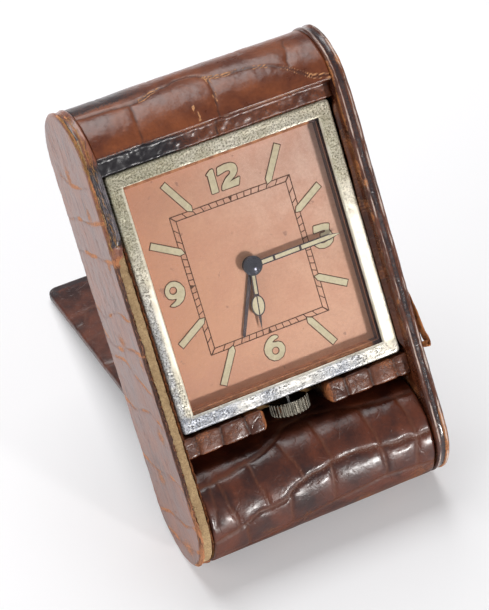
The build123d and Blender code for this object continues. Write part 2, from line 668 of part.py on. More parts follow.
def baton(inner, outer, side_x, side_y):
    """One long hour mark, between two points given in half windows."""
    start = (inner[0] * side_x * WINDOW_HALF_W, inner[1] * side_y * WINDOW_HALF_H)
    end = (outer[0] * side_x * WINDOW_HALF_W, outer[1] * side_y * WINDOW_HALF_H)
    run = hypot(end[0] - start[0], end[1] - start[1])
    turn = degrees(atan2(end[1] - start[1], end[0] - start[0]))
    middle = ((start[0] + end[0]) / 2, (start[1] + end[1]) / 2, DIAL_FRONT_Z + MARK_HEIGHT / 2)
    return Pos(*middle) * Rot(0, 0, turn) * Box(run, BATON_WIDTH, MARK_HEIGHT)


def hour_batons():
    """The eight long hour marks."""
    marks = []
    for side_x in (-1, 1):
        for side_y in (-1, 1):
            marks.append(baton(BATON_STEEP_IN_SHARES, BATON_STEEP_OUT_SHARES, side_x, side_y))
            marks.append(baton(BATON_FLAT_IN_SHARES, BATON_FLAT_OUT_SHARES, side_x, side_y))
    return solids(*marks)


def clock_body():
    """Metal walls of the clock's own case, thicker behind the front plate."""
    walls = block(BODY_HALF_W, BODY_HALF_H, CASE_BACK_FRONT_Z, BEZEL_BACK_Z)
    wide = block(
        BODY_HALF_W - BODY_WALL, BODY_HALF_H - BODY_WALL, FRONT_PLATE_BACK_Z, BEZEL_BACK_Z + OVERRUN
    )
    narrow = block(
        BODY_HALF_W - LEDGE_WALL, BODY_HALF_H - LEDGE_WALL,
        CASE_BACK_FRONT_Z - OVERRUN, FRONT_PLATE_BACK_Z + OVERRUN,
    )
    tube_hole = rod_y(STEM_RADIUS + STEM_FIT + STEM_TUBE_WALL, -BODY_HALF_H - OVERRUN, 0, CROWN_Z)
    return walls - wide - narrow - tube_hole


def stem_tube():
    """Tube in the wall of the metal case that carries the stem."""
    inner_end = -BODY_HALF_H + BODY_WALL
    outer_end = -BODY_HALF_H - STEM_TUBE_STAND
    tube = rod_y(STEM_RADIUS + STEM_FIT + STEM_TUBE_WALL, outer_end, inner_end, CROWN_Z)
    return tube - rod_y(STEM_RADIUS + STEM_FIT, outer_end - OVERRUN, inner_end + OVERRUN, CROWN_Z)


def case_back():
    """Back plate of the metal case, which lies on the back board."""
    return block(BODY_HALF_W, BODY_HALF_H, BACK_BOARD_FRONT_Z, CASE_BACK_FRONT_Z)


def pillar_places():
    """Centres of the four movement pillars."""
    x = PLATE_HALF_W - PILLAR_INSET
    y = PLATE_HALF_H - PILLAR_INSET
    return [(sx * x, sy * y) for sx in (-1, 1) for sy in (-1, 1)]


def pivot_holes(z0, z1):
    """Holes for every arbor that runs between the plates."""
    holes = disc(CENTRE_ARBOR_RADIUS + PIVOT_FIT, z0, z1)
    for at in ARBORS:
        holes += disc(PIVOT_RADIUS + PIVOT_FIT, z0, z1, at)
    for at in BARRELS:
        holes += disc(BARREL_ARBOR_RADIUS + PIVOT_FIT, z0, z1, at)
    return holes


def screw_hole_set(places, z0, z1):
    """Plain holes for a set of screws."""
    holes = disc(SCREW_RADIUS, z0, z1, places[0])
    for at in places[1:]:
        holes += disc(SCREW_RADIUS, z0, z1, at)
    return holes


def front_plate():
    """Front plate of the movement, which stands on the ledge of the metal case."""
    wall = BODY_WALL + PLATE_FIT
    z0 = FRONT_PLATE_BACK_Z
    z1 = FRONT_PLATE_FRONT_Z
    plate = block(BODY_HALF_W - wall, BODY_HALF_H - wall, z0, z1)
    plate -= pivot_holes(z0 - OVERRUN, z1 + OVERRUN)
    plate -= disc(PIVOT_RADIUS, z0 - OVERRUN, z1 + OVERRUN, MINUTE_WHEEL_AT)
    sleeve_room = SLEEVE_RADIUS + SLIDE_FIT
    y1 = CROWN_INNER_Y + STEM_LENGTH + SLIDE_FIT
    y0 = y1 - SLEEVE_LENGTH - STEM_PULL - 2 * SLIDE_FIT
    plate -= box(-sleeve_room, sleeve_room, y0, y1, z0 - OVERRUN, z1 + OVERRUN)
    return plate


def back_plate():
    """Back plate of the movement."""
    z0 = BACK_PLATE_BACK_Z
    z1 = BACK_PLATE_FRONT_Z
    plate = block(PLATE_HALF_W, PLATE_HALF_H, z0, z1)
    plate -= pivot_holes(z0 - OVERRUN, z1 + OVERRUN)
    return plate - screw_hole_set(pillar_places(), z0 - OVERRUN, z1 + OVERRUN)


def pillars():
    """Four pillars between the plates, tapped at the back."""
    posts = []
    for at in pillar_places():
        post = disc(PILLAR_RADIUS, BACK_PLATE_FRONT_Z, FRONT_PLATE_BACK_Z, at)
        post -= disc(SCREW_RADIUS, BACK_PLATE_FRONT_Z - OVERRUN, BACK_PLATE_FRONT_Z + SCREW_DEPTH, at)
        posts.append(post)
    return solids(*posts)


def plate_screws():
    """Slotted screws that hold the back plate on its pillars."""
    screws = []
    for at in pillar_places():
        head_top = BACK_PLATE_BACK_Z - SCREW_HEAD
        screw = disc(SCREW_HEAD_RADIUS, head_top, BACK_PLATE_BACK_Z, at)
        screw += disc(SCREW_RADIUS, BACK_PLATE_BACK_Z, BACK_PLATE_FRONT_Z + SCREW_DEPTH, at)
        slot = Pos(at[0], at[1], head_top) * Box(2 * SCREW_HEAD_RADIUS, SCREW_SLOT, SCREW_HEAD)
        screws.append(screw - slot)
    return solids(*screws)


def toothed(module, teeth, z0, z1, at, phase=0.0):
    """A toothed disc: straight sided teeth round a root circle."""
    pitch_radius = module * teeth / 2
    tip = pitch_radius + TOOTH_TIP * module
    root = pitch_radius - TOOTH_ROOT * module
    step = 2 * pi / teeth
    half_pitch = step * TOOTH_SHARE / 2
    half_tip = step * TIP_SHARE / 2
    half_root = step * (1 - TOOTH_SHARE) / 2
    points = []
    for tooth in range(teeth):
        middle = step * tooth + radians(phase)
        for radius, turn in ((root, -half_root), (pitch_radius, -half_pitch), (tip, -half_tip),
                             (tip, half_tip), (pitch_radius, half_pitch), (root, half_root)):
            points.append((at[0] + radius * cos(middle + turn), at[1] + radius * sin(middle + turn)))
    face = Plane.XY.offset(z0) * make_face(Polyline(*points, close=True))
    return extrude(face, z1 - z0, dir=(0, 0, 1))


def crossed(wheel, module, teeth, z0, z1, at):
    """Cut four windows in a wheel, which leaves a rim, four arms and a hub."""
    inner = module * teeth / 2 - (TOOTH_ROOT + ARM_TEETH_SHARES) * module
    hub = 2 * ARBOR_RADIUS
    arm = ARBOR_RADIUS
    ring = disc(inner, z0 - OVERRUN, z1 + OVERRUN, at) - disc(hub, z0 - 2 * OVERRUN, z1 + 2 * OVERRUN, at)
    ring -= box(at[0] - inner, at[0] + inner, at[1] - arm, at[1] + arm, z0 - 2 * OVERRUN, z1 + 2 * OVERRUN)
    ring -= box(at[0] - arm, at[0] + arm, at[1] - inner, at[1] + inner, z0 - 2 * OVERRUN, z1 + 2 * OVERRUN)
    return wheel - ring


def arbor(at):
    """A steel arbor between the plates with a thin pivot at each end."""
    shaft = disc(ARBOR_RADIUS, ARBOR_FOOT_Z, ARBOR_HEAD_Z, at)
    shaft += disc(PIVOT_RADIUS, ARBOR_FOOT_Z - PIVOT_LENGTH, ARBOR_FOOT_Z, at)
    return shaft + disc(PIVOT_RADIUS, ARBOR_HEAD_Z, ARBOR_HEAD_Z + PIVOT_LENGTH, at)


def level(height):
    """Depth of a wheel that sits at a given height above the back plate."""
    return BACK_PLATE_FRONT_Z + height


def crossed_wheel(module, teeth, height, at):
    """A toothed wheel with four arms, at a given height above the back plate."""
    z0 = level(height)
    z1 = z0 + WHEEL_THICKNESS
    return crossed(toothed(module, teeth, z0, z1, at), module, teeth, z0, z1, at)


def long_pinion(module, teeth, height, at, phase):
    """A pinion whose middle is level with the wheel that drives it."""
    z0 = level(height) - (PINION_LENGTH - WHEEL_THICKNESS) / 2
    return toothed(module, teeth, z0, z0 + PINION_LENGTH, at, phase)


def barrel_shell(radius, at):
    """A spring barrel: floor, wall and lid, hollow inside."""
    z0 = level(BARREL_LEVEL) + BARREL_TOOTH_HEIGHT
    z1 = level(BARREL_LEVEL) + BARREL_HEIGHT
    shell = disc(radius, z0, z1, at)
    shell -= disc(radius - BARREL_WALL, z0 + BARREL_WALL, z1 - BARREL_WALL, at)
    return shell - disc(BARREL_ARBOR_RADIUS + PIVOT_FIT, z0 - OVERRUN, z1 + OVERRUN, at)


def going_barrel():
    """Barrel of the going side with its toothed edge."""
    z0 = level(BARREL_LEVEL)
    z1 = z0 + BARREL_TOOTH_HEIGHT
    edge = toothed(TRAIN_MODULE, BARREL_TEETH, z0, z1, BARREL_AT)
    edge -= disc(BARREL_ARBOR_RADIUS + PIVOT_FIT, z0 - OVERRUN, z1 + OVERRUN, BARREL_AT)
    return edge + barrel_shell(going_barrel_radius(), BARREL_AT)


def alarm_barrel():
    """Barrel of the alarm side."""
    return barrel_shell(ALARM_BARREL_RADIUS, ALARM_BARREL_AT)


def saw_wheel(radius, root, teeth, z0, z1, at):
    """A ratchet wheel with saw teeth."""
    step = 2 * pi / teeth
    points = []
    for tooth in range(teeth):
        points.append((at[0] + root * cos(step * tooth), at[1] + root * sin(step * tooth)))
        points.append((at[0] + radius * cos(step * tooth), at[1] + radius * sin(step * tooth)))
    face = Plane.XY.offset(z0) * make_face(Polyline(*points, close=True))
    return extrude(face, z1 - z0, dir=(0, 0, 1))


def winding_arbor(at):
    """A barrel's arbor with the ratchet wheel that holds it wound, behind the back plate."""
    shaft = disc(BARREL_ARBOR_RADIUS, RATCHET_FOOT_Z, FRONT_PLATE_FRONT_Z, at)
    ratchet = saw_wheel(
        RATCHET_RADIUS, RATCHET_RADIUS * RATCHET_ROOT_SHARE, RATCHET_TEETH,
        RATCHET_FOOT_Z, RATCHET_FOOT_Z + RATCHET_THICKNESS, at,
    )
    return shaft + ratchet


def spiral(at, inner, outer, turns, leaf, z0, z1):
    """A flat spiral spring of even pitch."""
    steps = SPIRAL_STEPS * turns
    growth = (outer - leaf - inner) / steps
    inside = []
    outside = []
    for step in range(steps + 1):
        turn = 2 * pi * step * turns / steps
        radius = inner + growth * step
        inside.append((at[0] + radius * cos(turn), at[1] + radius * sin(turn)))
        radius += leaf
        outside.append((at[0] + radius * cos(turn), at[1] + radius * sin(turn)))
    face = Plane.XY.offset(z0) * make_face(Polyline(*inside, *reversed(outside), close=True))
    return extrude(face, z1 - z0, dir=(0, 0, 1))


def mainspring(radius, at):
    """The spring inside one barrel."""
    z0 = level(BARREL_LEVEL) + BARREL_TOOTH_HEIGHT + BARREL_WALL + PIVOT_FIT
    z1 = level(BARREL_LEVEL) + BARREL_HEIGHT - BARREL_WALL - PIVOT_FIT
    inner = BARREL_ARBOR_RADIUS + PIVOT_FIT
    outer = radius - BARREL_WALL - PIVOT_FIT
    return spiral(at, inner, outer, SPRING_TURNS, SPRING_LEAF, z0, z1)


def going_barrel_radius():
    """Outside radius of the going barrel's wall, inside its teeth."""
    return TRAIN_MODULE * BARREL_TEETH / 2 - BARREL_RIM_INSET


def centre_wheel():
    """Centre wheel on the long arbor that also carries the cannon pinion."""
    z0 = level(BARREL_LEVEL) - (PINION_LENGTH - BARREL_TOOTH_HEIGHT) / 2
    phase = mesh_phase(BARREL_BEARING + 180.0, BARREL_TEETH, CENTRE_PINION_TEETH)
    pinion = toothed(TRAIN_MODULE, CENTRE_PINION_TEETH, z0, z0 + PINION_LENGTH, CENTRE, phase)
    shaft = disc(CENTRE_ARBOR_RADIUS, BACK_PLATE_BACK_Z, hand_z(MINUTE_HAND_LIFT))
    return shaft + crossed_wheel(TRAIN_MODULE, CENTRE_TEETH, CENTRE_LEVEL, CENTRE) + pinion


def third_wheel():
    """Third wheel and its pinion."""
    phase = mesh_phase(THIRD_BEARING, CENTRE_TEETH, THIRD_PINION_TEETH)
    pinion = long_pinion(TRAIN_MODULE, THIRD_PINION_TEETH, CENTRE_LEVEL, THIRD_AT, phase)
    return arbor(THIRD_AT) + crossed_wheel(TRAIN_MODULE, THIRD_TEETH, THIRD_LEVEL, THIRD_AT) + pinion


def fourth_wheel():
    """Fourth wheel and its pinion."""
    phase = mesh_phase(FOURTH_BEARING, THIRD_TEETH, FOURTH_PINION_TEETH)
    pinion = long_pinion(TRAIN_MODULE, FOURTH_PINION_TEETH, THIRD_LEVEL, FOURTH_AT, phase)
    return arbor(FOURTH_AT) + crossed_wheel(FAST_MODULE, FOURTH_TEETH, FOURTH_LEVEL, FOURTH_AT) + pinion


def escape_wheel():
    """Escape wheel with pointed, leaning teeth, and its pinion."""
    z0 = level(ESCAPE_LEVEL)
    step = 2 * pi / ESCAPE_TEETH
    root = ESCAPE_RADIUS * ESCAPE_ROOT_SHARE
    front, back, foot = ESCAPE_TOOTH_SHARES
    points = []
    for tooth in range(ESCAPE_TEETH):
        for radius, share in ((root, 0), (ESCAPE_RADIUS, front), (ESCAPE_RADIUS, back), (root, foot)):
            turn = step * (tooth + share)
            points.append((ESCAPE_AT[0] + radius * cos(turn), ESCAPE_AT[1] + radius * sin(turn)))
    face = Plane.XY.offset(z0) * make_face(Polyline(*points, close=True))
    wheel = extrude(face, WHEEL_THICKNESS, dir=(0, 0, 1))
    phase = mesh_phase(ESCAPE_BEARING, FOURTH_TEETH, ESCAPE_PINION_TEETH)
    pinion = long_pinion(FAST_MODULE, ESCAPE_PINION_TEETH, FOURTH_LEVEL, ESCAPE_AT, phase)
    return arbor(ESCAPE_AT) + wheel + pinion


def bar(start, end, width, z0, z1):
    """A flat straight bar between two points."""
    run = hypot(end[0] - start[0], end[1] - start[1])
    turn = degrees(atan2(end[1] - start[1], end[0] - start[0]))
    middle = ((start[0] + end[0]) / 2, (start[1] + end[1]) / 2, (z0 + z1) / 2)
    return Pos(*middle) * Rot(0, 0, turn) * Box(run, width, z1 - z0)


def pallet_fork():
    """Anchor across the escape wheel's edge, with the fork towards the balance."""
    z0 = level(ESCAPE_LEVEL)
    z1 = z0 + WHEEL_THICKNESS
    fork = bar(PALLET_AT, along(PALLET_AT, BALANCE_BEARING, PALLET_LENGTH), PALLET_ARM, z0, z1)
    for side in (-1, 1):
        stone = along(ESCAPE_AT, PALLET_BEARING + side * PALLET_SPREAD, ESCAPE_RADIUS + PALLET_ARM)
        fork += bar(PALLET_AT, stone, PALLET_ARM, z0, z1)
    fork -= disc(ESCAPE_RADIUS + ESCAPE_FIT, z0 - OVERRUN, z1 + OVERRUN, ESCAPE_AT)
    return arbor(PALLET_AT) + fork


def balance_wheel():
    """Balance: a heavy rim, one arm and its staff."""
    z0 = level(BALANCE_LEVEL)
    z1 = z0 + BALANCE_HEIGHT
    rim = disc(BALANCE_RADIUS, z0, z1, BALANCE_AT)
    rim -= disc(BALANCE_RADIUS - BALANCE_RIM, z0 - OVERRUN, z1 + OVERRUN, BALANCE_AT)
    reach = BALANCE_RADIUS - BALANCE_RIM / 2
    for side in (0.0, 180.0):
        rim += bar(BALANCE_AT, along(BALANCE_AT, BALANCE_BEARING + side, reach), BALANCE_RIM, z0, z1)
    collet_z = level(HAIRSPRING_LEVEL)
    collet = disc(HAIRSPRING_INNER - PIVOT_FIT, collet_z, collet_z + HAIRSPRING_HEIGHT, BALANCE_AT)
    return rim + arbor(BALANCE_AT) + collet


def hairspring():
    """Fine spiral spring round the balance staff."""
    z0 = level(HAIRSPRING_LEVEL)
    return spiral(
        BALANCE_AT, HAIRSPRING_INNER, HAIRSPRING_OUTER, HAIRSPRING_TURNS, HAIRSPRING_LEAF,
        z0, z0 + HAIRSPRING_HEIGHT,
    )


def hairspring_stud():
    """Small post on the back plate that holds the hairspring's outer end."""
    at = (BALANCE_AT[0] + HAIRSPRING_OUTER + ARBOR_RADIUS, BALANCE_AT[1])
    return disc(ARBOR_RADIUS, BACK_PLATE_FRONT_Z, level(HAIRSPRING_LEVEL) + HAIRSPRING_HEIGHT, at)


def alarm_hammer():
    """Hammer on its own arbor, with a round head near the gong."""
    z0 = level(HAMMER_LEVEL)
    z1 = z0 + HAMMER_HEIGHT
    head_at = (HAMMER_AT[0] - HAMMER_ARM, HAMMER_AT[1])
    arm = bar(HAMMER_AT, head_at, HAMMER_WIDTH, z0, z1)
    return arbor(HAMMER_AT) + arm + disc(HAMMER_HEAD_RADIUS, z0, z1, head_at)


def gong():
    """Steel gong rod in the block that hangs from the front plate."""
    z = level(HAMMER_LEVEL) + HAMMER_HEIGHT / 2
    half = PLATE_HALF_W - GONG_INSET
    rod = rod_x(GONG_RADIUS, -half, half, GONG_Y, z)
    holder = box(
        half - GONG_BLOCK, half, GONG_Y - GONG_RADIUS, GONG_Y + GONG_RADIUS,
        z - GONG_BLOCK / 2, FRONT_PLATE_BACK_Z,
    )
    return rod + holder


def hand_z(lift):
    """Underside of a hand above the dial."""
    return DIAL_FRONT_Z + lift


def tube_radius(order):
    """Outer radius of the nested tubes: cannon, hour and alarm."""
    return CENTRE_ARBOR_RADIUS + (order + 1) * (TUBE_WALL + TUBE_FIT)


def tube(order, z0, z1):
    """One of the nested tubes on the centre."""
    outer = tube_radius(order)
    return disc(outer, z0, z1) - disc(outer - TUBE_WALL, z0 - OVERRUN, z1 + OVERRUN)


def motion_levels():
    """Depths of the lower and upper layer of the motion work."""
    lower = FRONT_PLATE_FRONT_Z + SHAKE
    upper = lower + WHEEL_THICKNESS + 2 * SHAKE
    return lower, upper


def cannon_pinion():
    """Pinion and tube that carry the minute hand."""
    lower = motion_levels()[0]
    phase = mesh_phase(MINUTE_WHEEL_BEARING + 180.0, MINUTE_WHEEL_TEETH, CANNON_TEETH)
    pinion = toothed(MOTION_MODULE, CANNON_TEETH, lower, lower + WHEEL_THICKNESS, CENTRE, phase)
    pinion -= disc(tube_radius(0) - TUBE_WALL, lower - OVERRUN, lower + OVERRUN)
    return pinion + tube(0, lower, hand_z(MINUTE_HAND_LIFT) + HAND_THICKNESS)


def minute_wheel():
    """Wheel and pinion between the cannon pinion and the hour wheel."""
    lower, upper = motion_levels()
    at = MINUTE_WHEEL_AT
    wheel = toothed(MOTION_MODULE, MINUTE_WHEEL_TEETH, lower, lower + WHEEL_THICKNESS, at)
    phase = mesh_phase(MINUTE_WHEEL_BEARING, HOUR_TEETH, MINUTE_PINION_TEETH)
    top = upper + WHEEL_THICKNESS
    pinion = toothed(HOUR_MODULE, MINUTE_PINION_TEETH, lower + WHEEL_THICKNESS, top, at, phase)
    return (wheel + pinion) - disc(PIVOT_RADIUS + PIVOT_FIT, lower - OVERRUN, top + OVERRUN, at)


def minute_wheel_post():
    """Fixed post in the front plate that the minute wheel turns on."""
    upper = motion_levels()[1]
    return disc(PIVOT_RADIUS, FRONT_PLATE_BACK_Z, upper + WHEEL_THICKNESS, MINUTE_WHEEL_AT)


def hour_wheel():
    """Hour wheel with the tube that carries the hour hand."""
    upper = motion_levels()[1]
    wheel = toothed(HOUR_MODULE, HOUR_TEETH, upper, upper + WHEEL_THICKNESS, CENTRE)
    wheel -= disc(tube_radius(1) - TUBE_WALL, upper - OVERRUN, upper + OVERRUN)
    return wheel + tube(1, upper, hand_z(HOUR_HAND_LIFT) + HAND_THICKNESS)


def alarm_wheel():
    """Cam disc under the dial with the tube that carries the alarm hand."""
    z1 = DIAL_BACK_Z - ALARM_WHEEL_GAP
    z0 = z1 - ALARM_WHEEL_THICKNESS
    wheel = disc(ALARM_WHEEL_RADIUS, z0, z1) - disc(tube_radius(2) - TUBE_WALL, z0 - OVERRUN, z1 + OVERRUN)
    return wheel + tube(2, z0, hand_z(ALARM_HAND_LIFT) + HAND_THICKNESS)


def clock_hand(shape, angle, bore_order, lift):
    """Turn a hand drawn towards twelve to its angle and bore it for its tube."""
    z0 = hand_z(lift)
    hand = extrude(Plane.XY.offset(z0) * shape, HAND_THICKNESS, dir=(0, 0, 1))
    hand = Rot(0, 0, -angle) * hand
    return hand - disc(tube_radius(bore_order), z0 - OVERRUN, z0 + OVERRUN)


def minute_hand():
    """Long open-work minute hand with two cross bars."""
    half = MINUTE_HAND_WIDTH / 2
    neck = MINUTE_HAND_REACH - 2 * MINUTE_HAND_WIDTH
    outline = [(-half, 0), (half, 0), (half, neck), (0, MINUTE_HAND_REACH), (-half, neck)]
    shape = Circle(HAND_BOSS_RADIUS) + make_face(Polyline(*outline, close=True))
    inner = half - MINUTE_HAND_FRAME
    stops = [HAND_BOSS_RADIUS, *MINUTE_BARS, neck]
    for low, high in zip(stops, stops[1:]):
        y0 = low + MINUTE_HAND_FRAME
        y1 = high - MINUTE_HAND_FRAME
        shape -= Pos(0, (y0 + y1) / 2) * Rectangle(2 * inner, y1 - y0)
    return clock_hand(shape, MINUTE_ANGLE, 0, MINUTE_HAND_LIFT)


def hour_hand():
    """Open-work hour hand with an oval ring before its point."""
    half = HOUR_HAND_WIDTH / 2
    outline = [(-half, 0), (half, 0), (half, HOUR_RING_REACH), (0, HOUR_HAND_REACH), (-half, HOUR_RING_REACH)]
    shape = Circle(HAND_BOSS_RADIUS) + make_face(Polyline(*outline, close=True))
    shape += Pos(0, HOUR_RING_REACH) * Ellipse(HOUR_RING_HALF_WIDTH, HOUR_RING_HALF_LENGTH)
    ring_hole = Ellipse(HOUR_RING_HALF_WIDTH - MINUTE_HAND_FRAME, HOUR_RING_HALF_LENGTH - MINUTE_HAND_FRAME)
    ring_hole -= Rectangle(MINUTE_HAND_FRAME, 2 * HOUR_RING_HALF_LENGTH)
    shape -= Pos(0, HOUR_RING_REACH) * ring_hole
    low = HAND_BOSS_RADIUS + MINUTE_HAND_FRAME
    high = HOUR_RING_REACH - HOUR_RING_HALF_LENGTH - MINUTE_HAND_FRAME
    window = Rectangle(HOUR_HAND_WIDTH - 2 * MINUTE_HAND_FRAME, high - low)
    shape -= Pos(0, (low + high) / 2) * window
    return clock_hand(shape, HOUR_ANGLE, 1, HOUR_HAND_LIFT)


def alarm_hand():
    """Plain tapered alarm hand."""
    half = ALARM_HAND_WIDTH / 2
    blade = make_face(Polyline((-half, 0), (half, 0), (0, ALARM_HAND_REACH), close=True))
    shape = Circle(HAND_BOSS_RADIUS) + blade
    return clock_hand(shape, ALARM_ANGLE, 2, ALARM_HAND_LIFT)


def hub_cap():
    """Domed cap over the end of the cannon pinion."""
    z0 = hand_z(MINUTE_HAND_LIFT) + HAND_THICKNESS
    rise = HUB_HEIGHT - HUB_COLLAR
    dome_radius = (HUB_RADIUS ** 2 + rise ** 2) / (2 * rise)
    dome = Pos(0, 0, z0 + HUB_HEIGHT - dome_radius) * Sphere(dome_radius)
    return dome & disc(HUB_RADIUS, z0, z0 + HUB_HEIGHT)


def crown():
    """Wide knurled crown under the bezel."""
    knob = rod_y(CROWN_RADIUS, CROWN_END_Y, CROWN_INNER_Y, CROWN_Z)
    knob = chamfer(knob.edges(), CROWN_EDGE)
    for rib in range(CROWN_RIBS):
        turn = 2 * pi * rib / CROWN_RIBS
        x = CROWN_RADIUS * cos(turn)
        z = CROWN_Z + CROWN_RADIUS * sin(turn)
        y0 = CROWN_END_Y - OVERRUN
        y1 = CROWN_INNER_Y + OVERRUN
        knob -= Pos(x, (y0 + y1) / 2, z) * Rot(90, 0, 0) * Cylinder(CROWN_RIB_DEPTH, y1 - y0)
    return knob - rod_y(STEM_RADIUS, CROWN_INNER_Y - CROWN_LENGTH / 2, CROWN_INNER_Y + OVERRUN, CROWN_Z)


def groove_y():
    """Middle of the groove in the stem that the setting lever holds."""
    return -BODY_HALF_H + BODY_WALL + SLIDE_FIT + STEM_PULL + LEVER_THICKNESS


def winding_stem():
    """Stem with the groove for the lever and the sleeve on its inner end."""
    inner_end = CROWN_INNER_Y + STEM_LENGTH
    stem = rod_y(STEM_RADIUS, CROWN_INNER_Y - CROWN_LENGTH / 2, inner_end, CROWN_Z)
    half = STEM_GROOVE_WIDTH / 2
    collar = rod_y(STEM_RADIUS + STEM_FIT, groove_y() - half, groove_y() + half, CROWN_Z)
    core = rod_y(STEM_GROOVE_RADIUS, groove_y() - OVERRUN, groove_y() + OVERRUN, CROWN_Z)
    stem -= collar - core
    return stem + rod_y(SLEEVE_RADIUS, inner_end - SLEEVE_LENGTH, inner_end, CROWN_Z)


def setting_lever():
    """Forked plate that slides with the stem when the crown is pulled."""
    z0 = FRONT_PLATE_FRONT_Z + STEM_FIT
    z1 = CROWN_Z + STEM_GROOVE_RADIUS
    y0 = groove_y() - LEVER_THICKNESS / 2
    y1 = groove_y() + LEVER_THICKNESS / 2
    plate = box(-LEVER_HALF_WIDTH, LEVER_HALF_WIDTH, y0, y1, z0, z1)
    slot = STEM_GROOVE_RADIUS + STEM_FIT
    plate -= box(-slot, slot, y0 - OVERRUN, y1 + OVERRUN, CROWN_Z, z1 + OVERRUN)
    return plate - rod_y(slot, y0 - OVERRUN, y1 + OVERRUN, CROWN_Z)


def stem_block():
    """Bearing block on the front plate for the inner part of the stem."""
    y0 = groove_y() + LEVER_THICKNESS + 2 * SLIDE_FIT
    half = STEM_BLOCK_HALF_WIDTH
    body = box(-half, half, y0, y0 + STEM_BLOCK_LENGTH, FRONT_PLATE_FRONT_Z, DIAL_BACK_Z)
    return body - rod_y(STEM_RADIUS + STEM_FIT, y0 - OVERRUN, y0 + STEM_BLOCK_LENGTH + OVERRUN, CROWN_Z)


def opened(piece):
    """Swing a piece of the closed cover round to its open place."""
    hinge = Pos(0, DRUM_AXIS_Y, 0)
    return hinge * Rot(-OPEN_ANGLE, 0, 0) * hinge.inverse() * piece


def model():
    """Every node of the clock, by name, in the frame of its case."""
    boards = both_sides(flange_board)
    leathers = both_sides(flange_leather)
    linings = both_sides(flange_lining)
    return {
        "flange_board_right": boards[0],
        "flange_board_left": boards[1],
        "flange_leather_right": leathers[0],
        "flange_leather_left": leathers[1] - torn_edge(),
        "flange_lining_right": linings[0],
        "flange_lining_left": linings[1],
        "top_roll_core": roll_block(SKIN),
        "top_roll_leather": roll_block(0) - roll_block(SKIN),
        "back_board": back_board(),
        "back_leather": back_leather(),
        "rail_core": rail_core(),
        "rail_leather": rail_leather(),
        "hinge_pins": hinge_pins(),
        "drum_core": opened(drum_core()),
        "drum_bushes": opened(drum_bushes()),
        "cover_board": opened(cover_board()),
        "cover_leather": opened(cover_leather()),
        "cover_lining": opened(cover_lining()),
        "bezel": bezel(),
        "glass": glass(),
        "dial_frame": dial_frame(),
        "dial": dial(),
        "hour_batons": hour_batons(),
        "clock_body": clock_body(),
        "case_back": case_back(),
        "stem_tube": stem_tube(),
        "front_plate": front_plate(),
        "back_plate": back_plate(),
        "pillars": pillars(),
        "plate_screws": plate_screws(),
        "going_barrel": going_barrel(),
        "alarm_barrel": alarm_barrel(),
        "going_arbor": winding_arbor(BARREL_AT),
        "alarm_arbor": winding_arbor(ALARM_BARREL_AT),
        "going_mainspring": mainspring(going_barrel_radius(), BARREL_AT),
        "alarm_mainspring": mainspring(ALARM_BARREL_RADIUS, ALARM_BARREL_AT),
        "centre_wheel": centre_wheel(),
        "third_wheel": third_wheel(),
        "fourth_wheel": fourth_wheel(),
        "escape_wheel": escape_wheel(),
        "pallet_fork": pallet_fork(),
        "balance_wheel": balance_wheel(),
        "hairspring": hairspring(),
        "hairspring_stud": hairspring_stud(),
        "alarm_hammer": alarm_hammer(),
        "gong": gong(),
        "cannon_pinion": cannon_pinion(),
        "minute_wheel": minute_wheel(),
        "minute_wheel_post": minute_wheel_post(),
        "hour_wheel": hour_wheel(),
        "alarm_wheel": alarm_wheel(),
        "minute_hand": minute_hand(),
        "hour_hand": hour_hand(),
        "alarm_hand": alarm_hand(),
        "hub_cap": hub_cap(),
        "crown": crown(),
        "winding_stem": winding_stem(),
        "setting_lever": setting_lever(),
        "stem_block": stem_block(),
    }


def main():
    """Build the clock, stand it on the floor and write one file per node."""
    nodes = model()
    lean = Rot(90.0 - LEAN_BACK, 0, 0)
    leaned = {name: lean * piece for name, piece in nodes.items()}
    bounds = solids(*leaned.values()).bounding_box()
    stand = Pos(0, -(bounds.min.Y + bounds.max.Y) / 2, -bounds.min.Z)
    os.makedirs("parts", exist_ok=True)
    for name, piece in leaned.items():
        export_step(stand * piece, f"parts/{name}.step")
    print("nodes", len(nodes), "open angle", round(OPEN_ANGLE, 4), "closing turn", round(CLOSING_TURN, 4))
    axes = {
        "drum": (0, DRUM_AXIS_Y, 0),
        "centre": (*CENTRE, DIAL_FRONT_Z),
        "barrel": (*BARREL_AT, level(BARREL_LEVEL)),
        "alarm_barrel": (*ALARM_BARREL_AT, level(BARREL_LEVEL)),
        "third": (*THIRD_AT, level(THIRD_LEVEL)),
        "fourth": (*FOURTH_AT, level(FOURTH_LEVEL)),
        "escape": (*ESCAPE_AT, level(ESCAPE_LEVEL)),
        "pallet": (*PALLET_AT, level(ESCAPE_LEVEL)),
        "balance": (*BALANCE_AT, level(BALANCE_LEVEL)),
        "minute_wheel": (*MINUTE_WHEEL_AT, FRONT_PLATE_FRONT_Z),
        "hammer": (*HAMMER_AT, level(HAMMER_LEVEL)),
        "crown": (0, CROWN_END_Y, CROWN_Z),
        "back_face": (0, 0, BACK_Z),
    }
    for name, point in axes.items():
        place = (stand * lean * Pos(*point)).position
        print(name, [round(value, 4) for value in (place.X, place.Y, place.Z)])


main()
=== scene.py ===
"""Blender looks of the folding travel clock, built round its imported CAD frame.

The classes keep their sizes in millimetres, in the frame of the clock's own case: x to the
right of the dial, y up the dial and z out of the glass, with z = 0 at the hinge. CaseFrame
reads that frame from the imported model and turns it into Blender's metres.
"""

from __future__ import annotations

import json
import logging
import math
from dataclasses import dataclass
from enum import Enum
from typing import Iterable, Sequence

import bpy
import bmesh
import numpy as np
from mathutils import Matrix, Vector

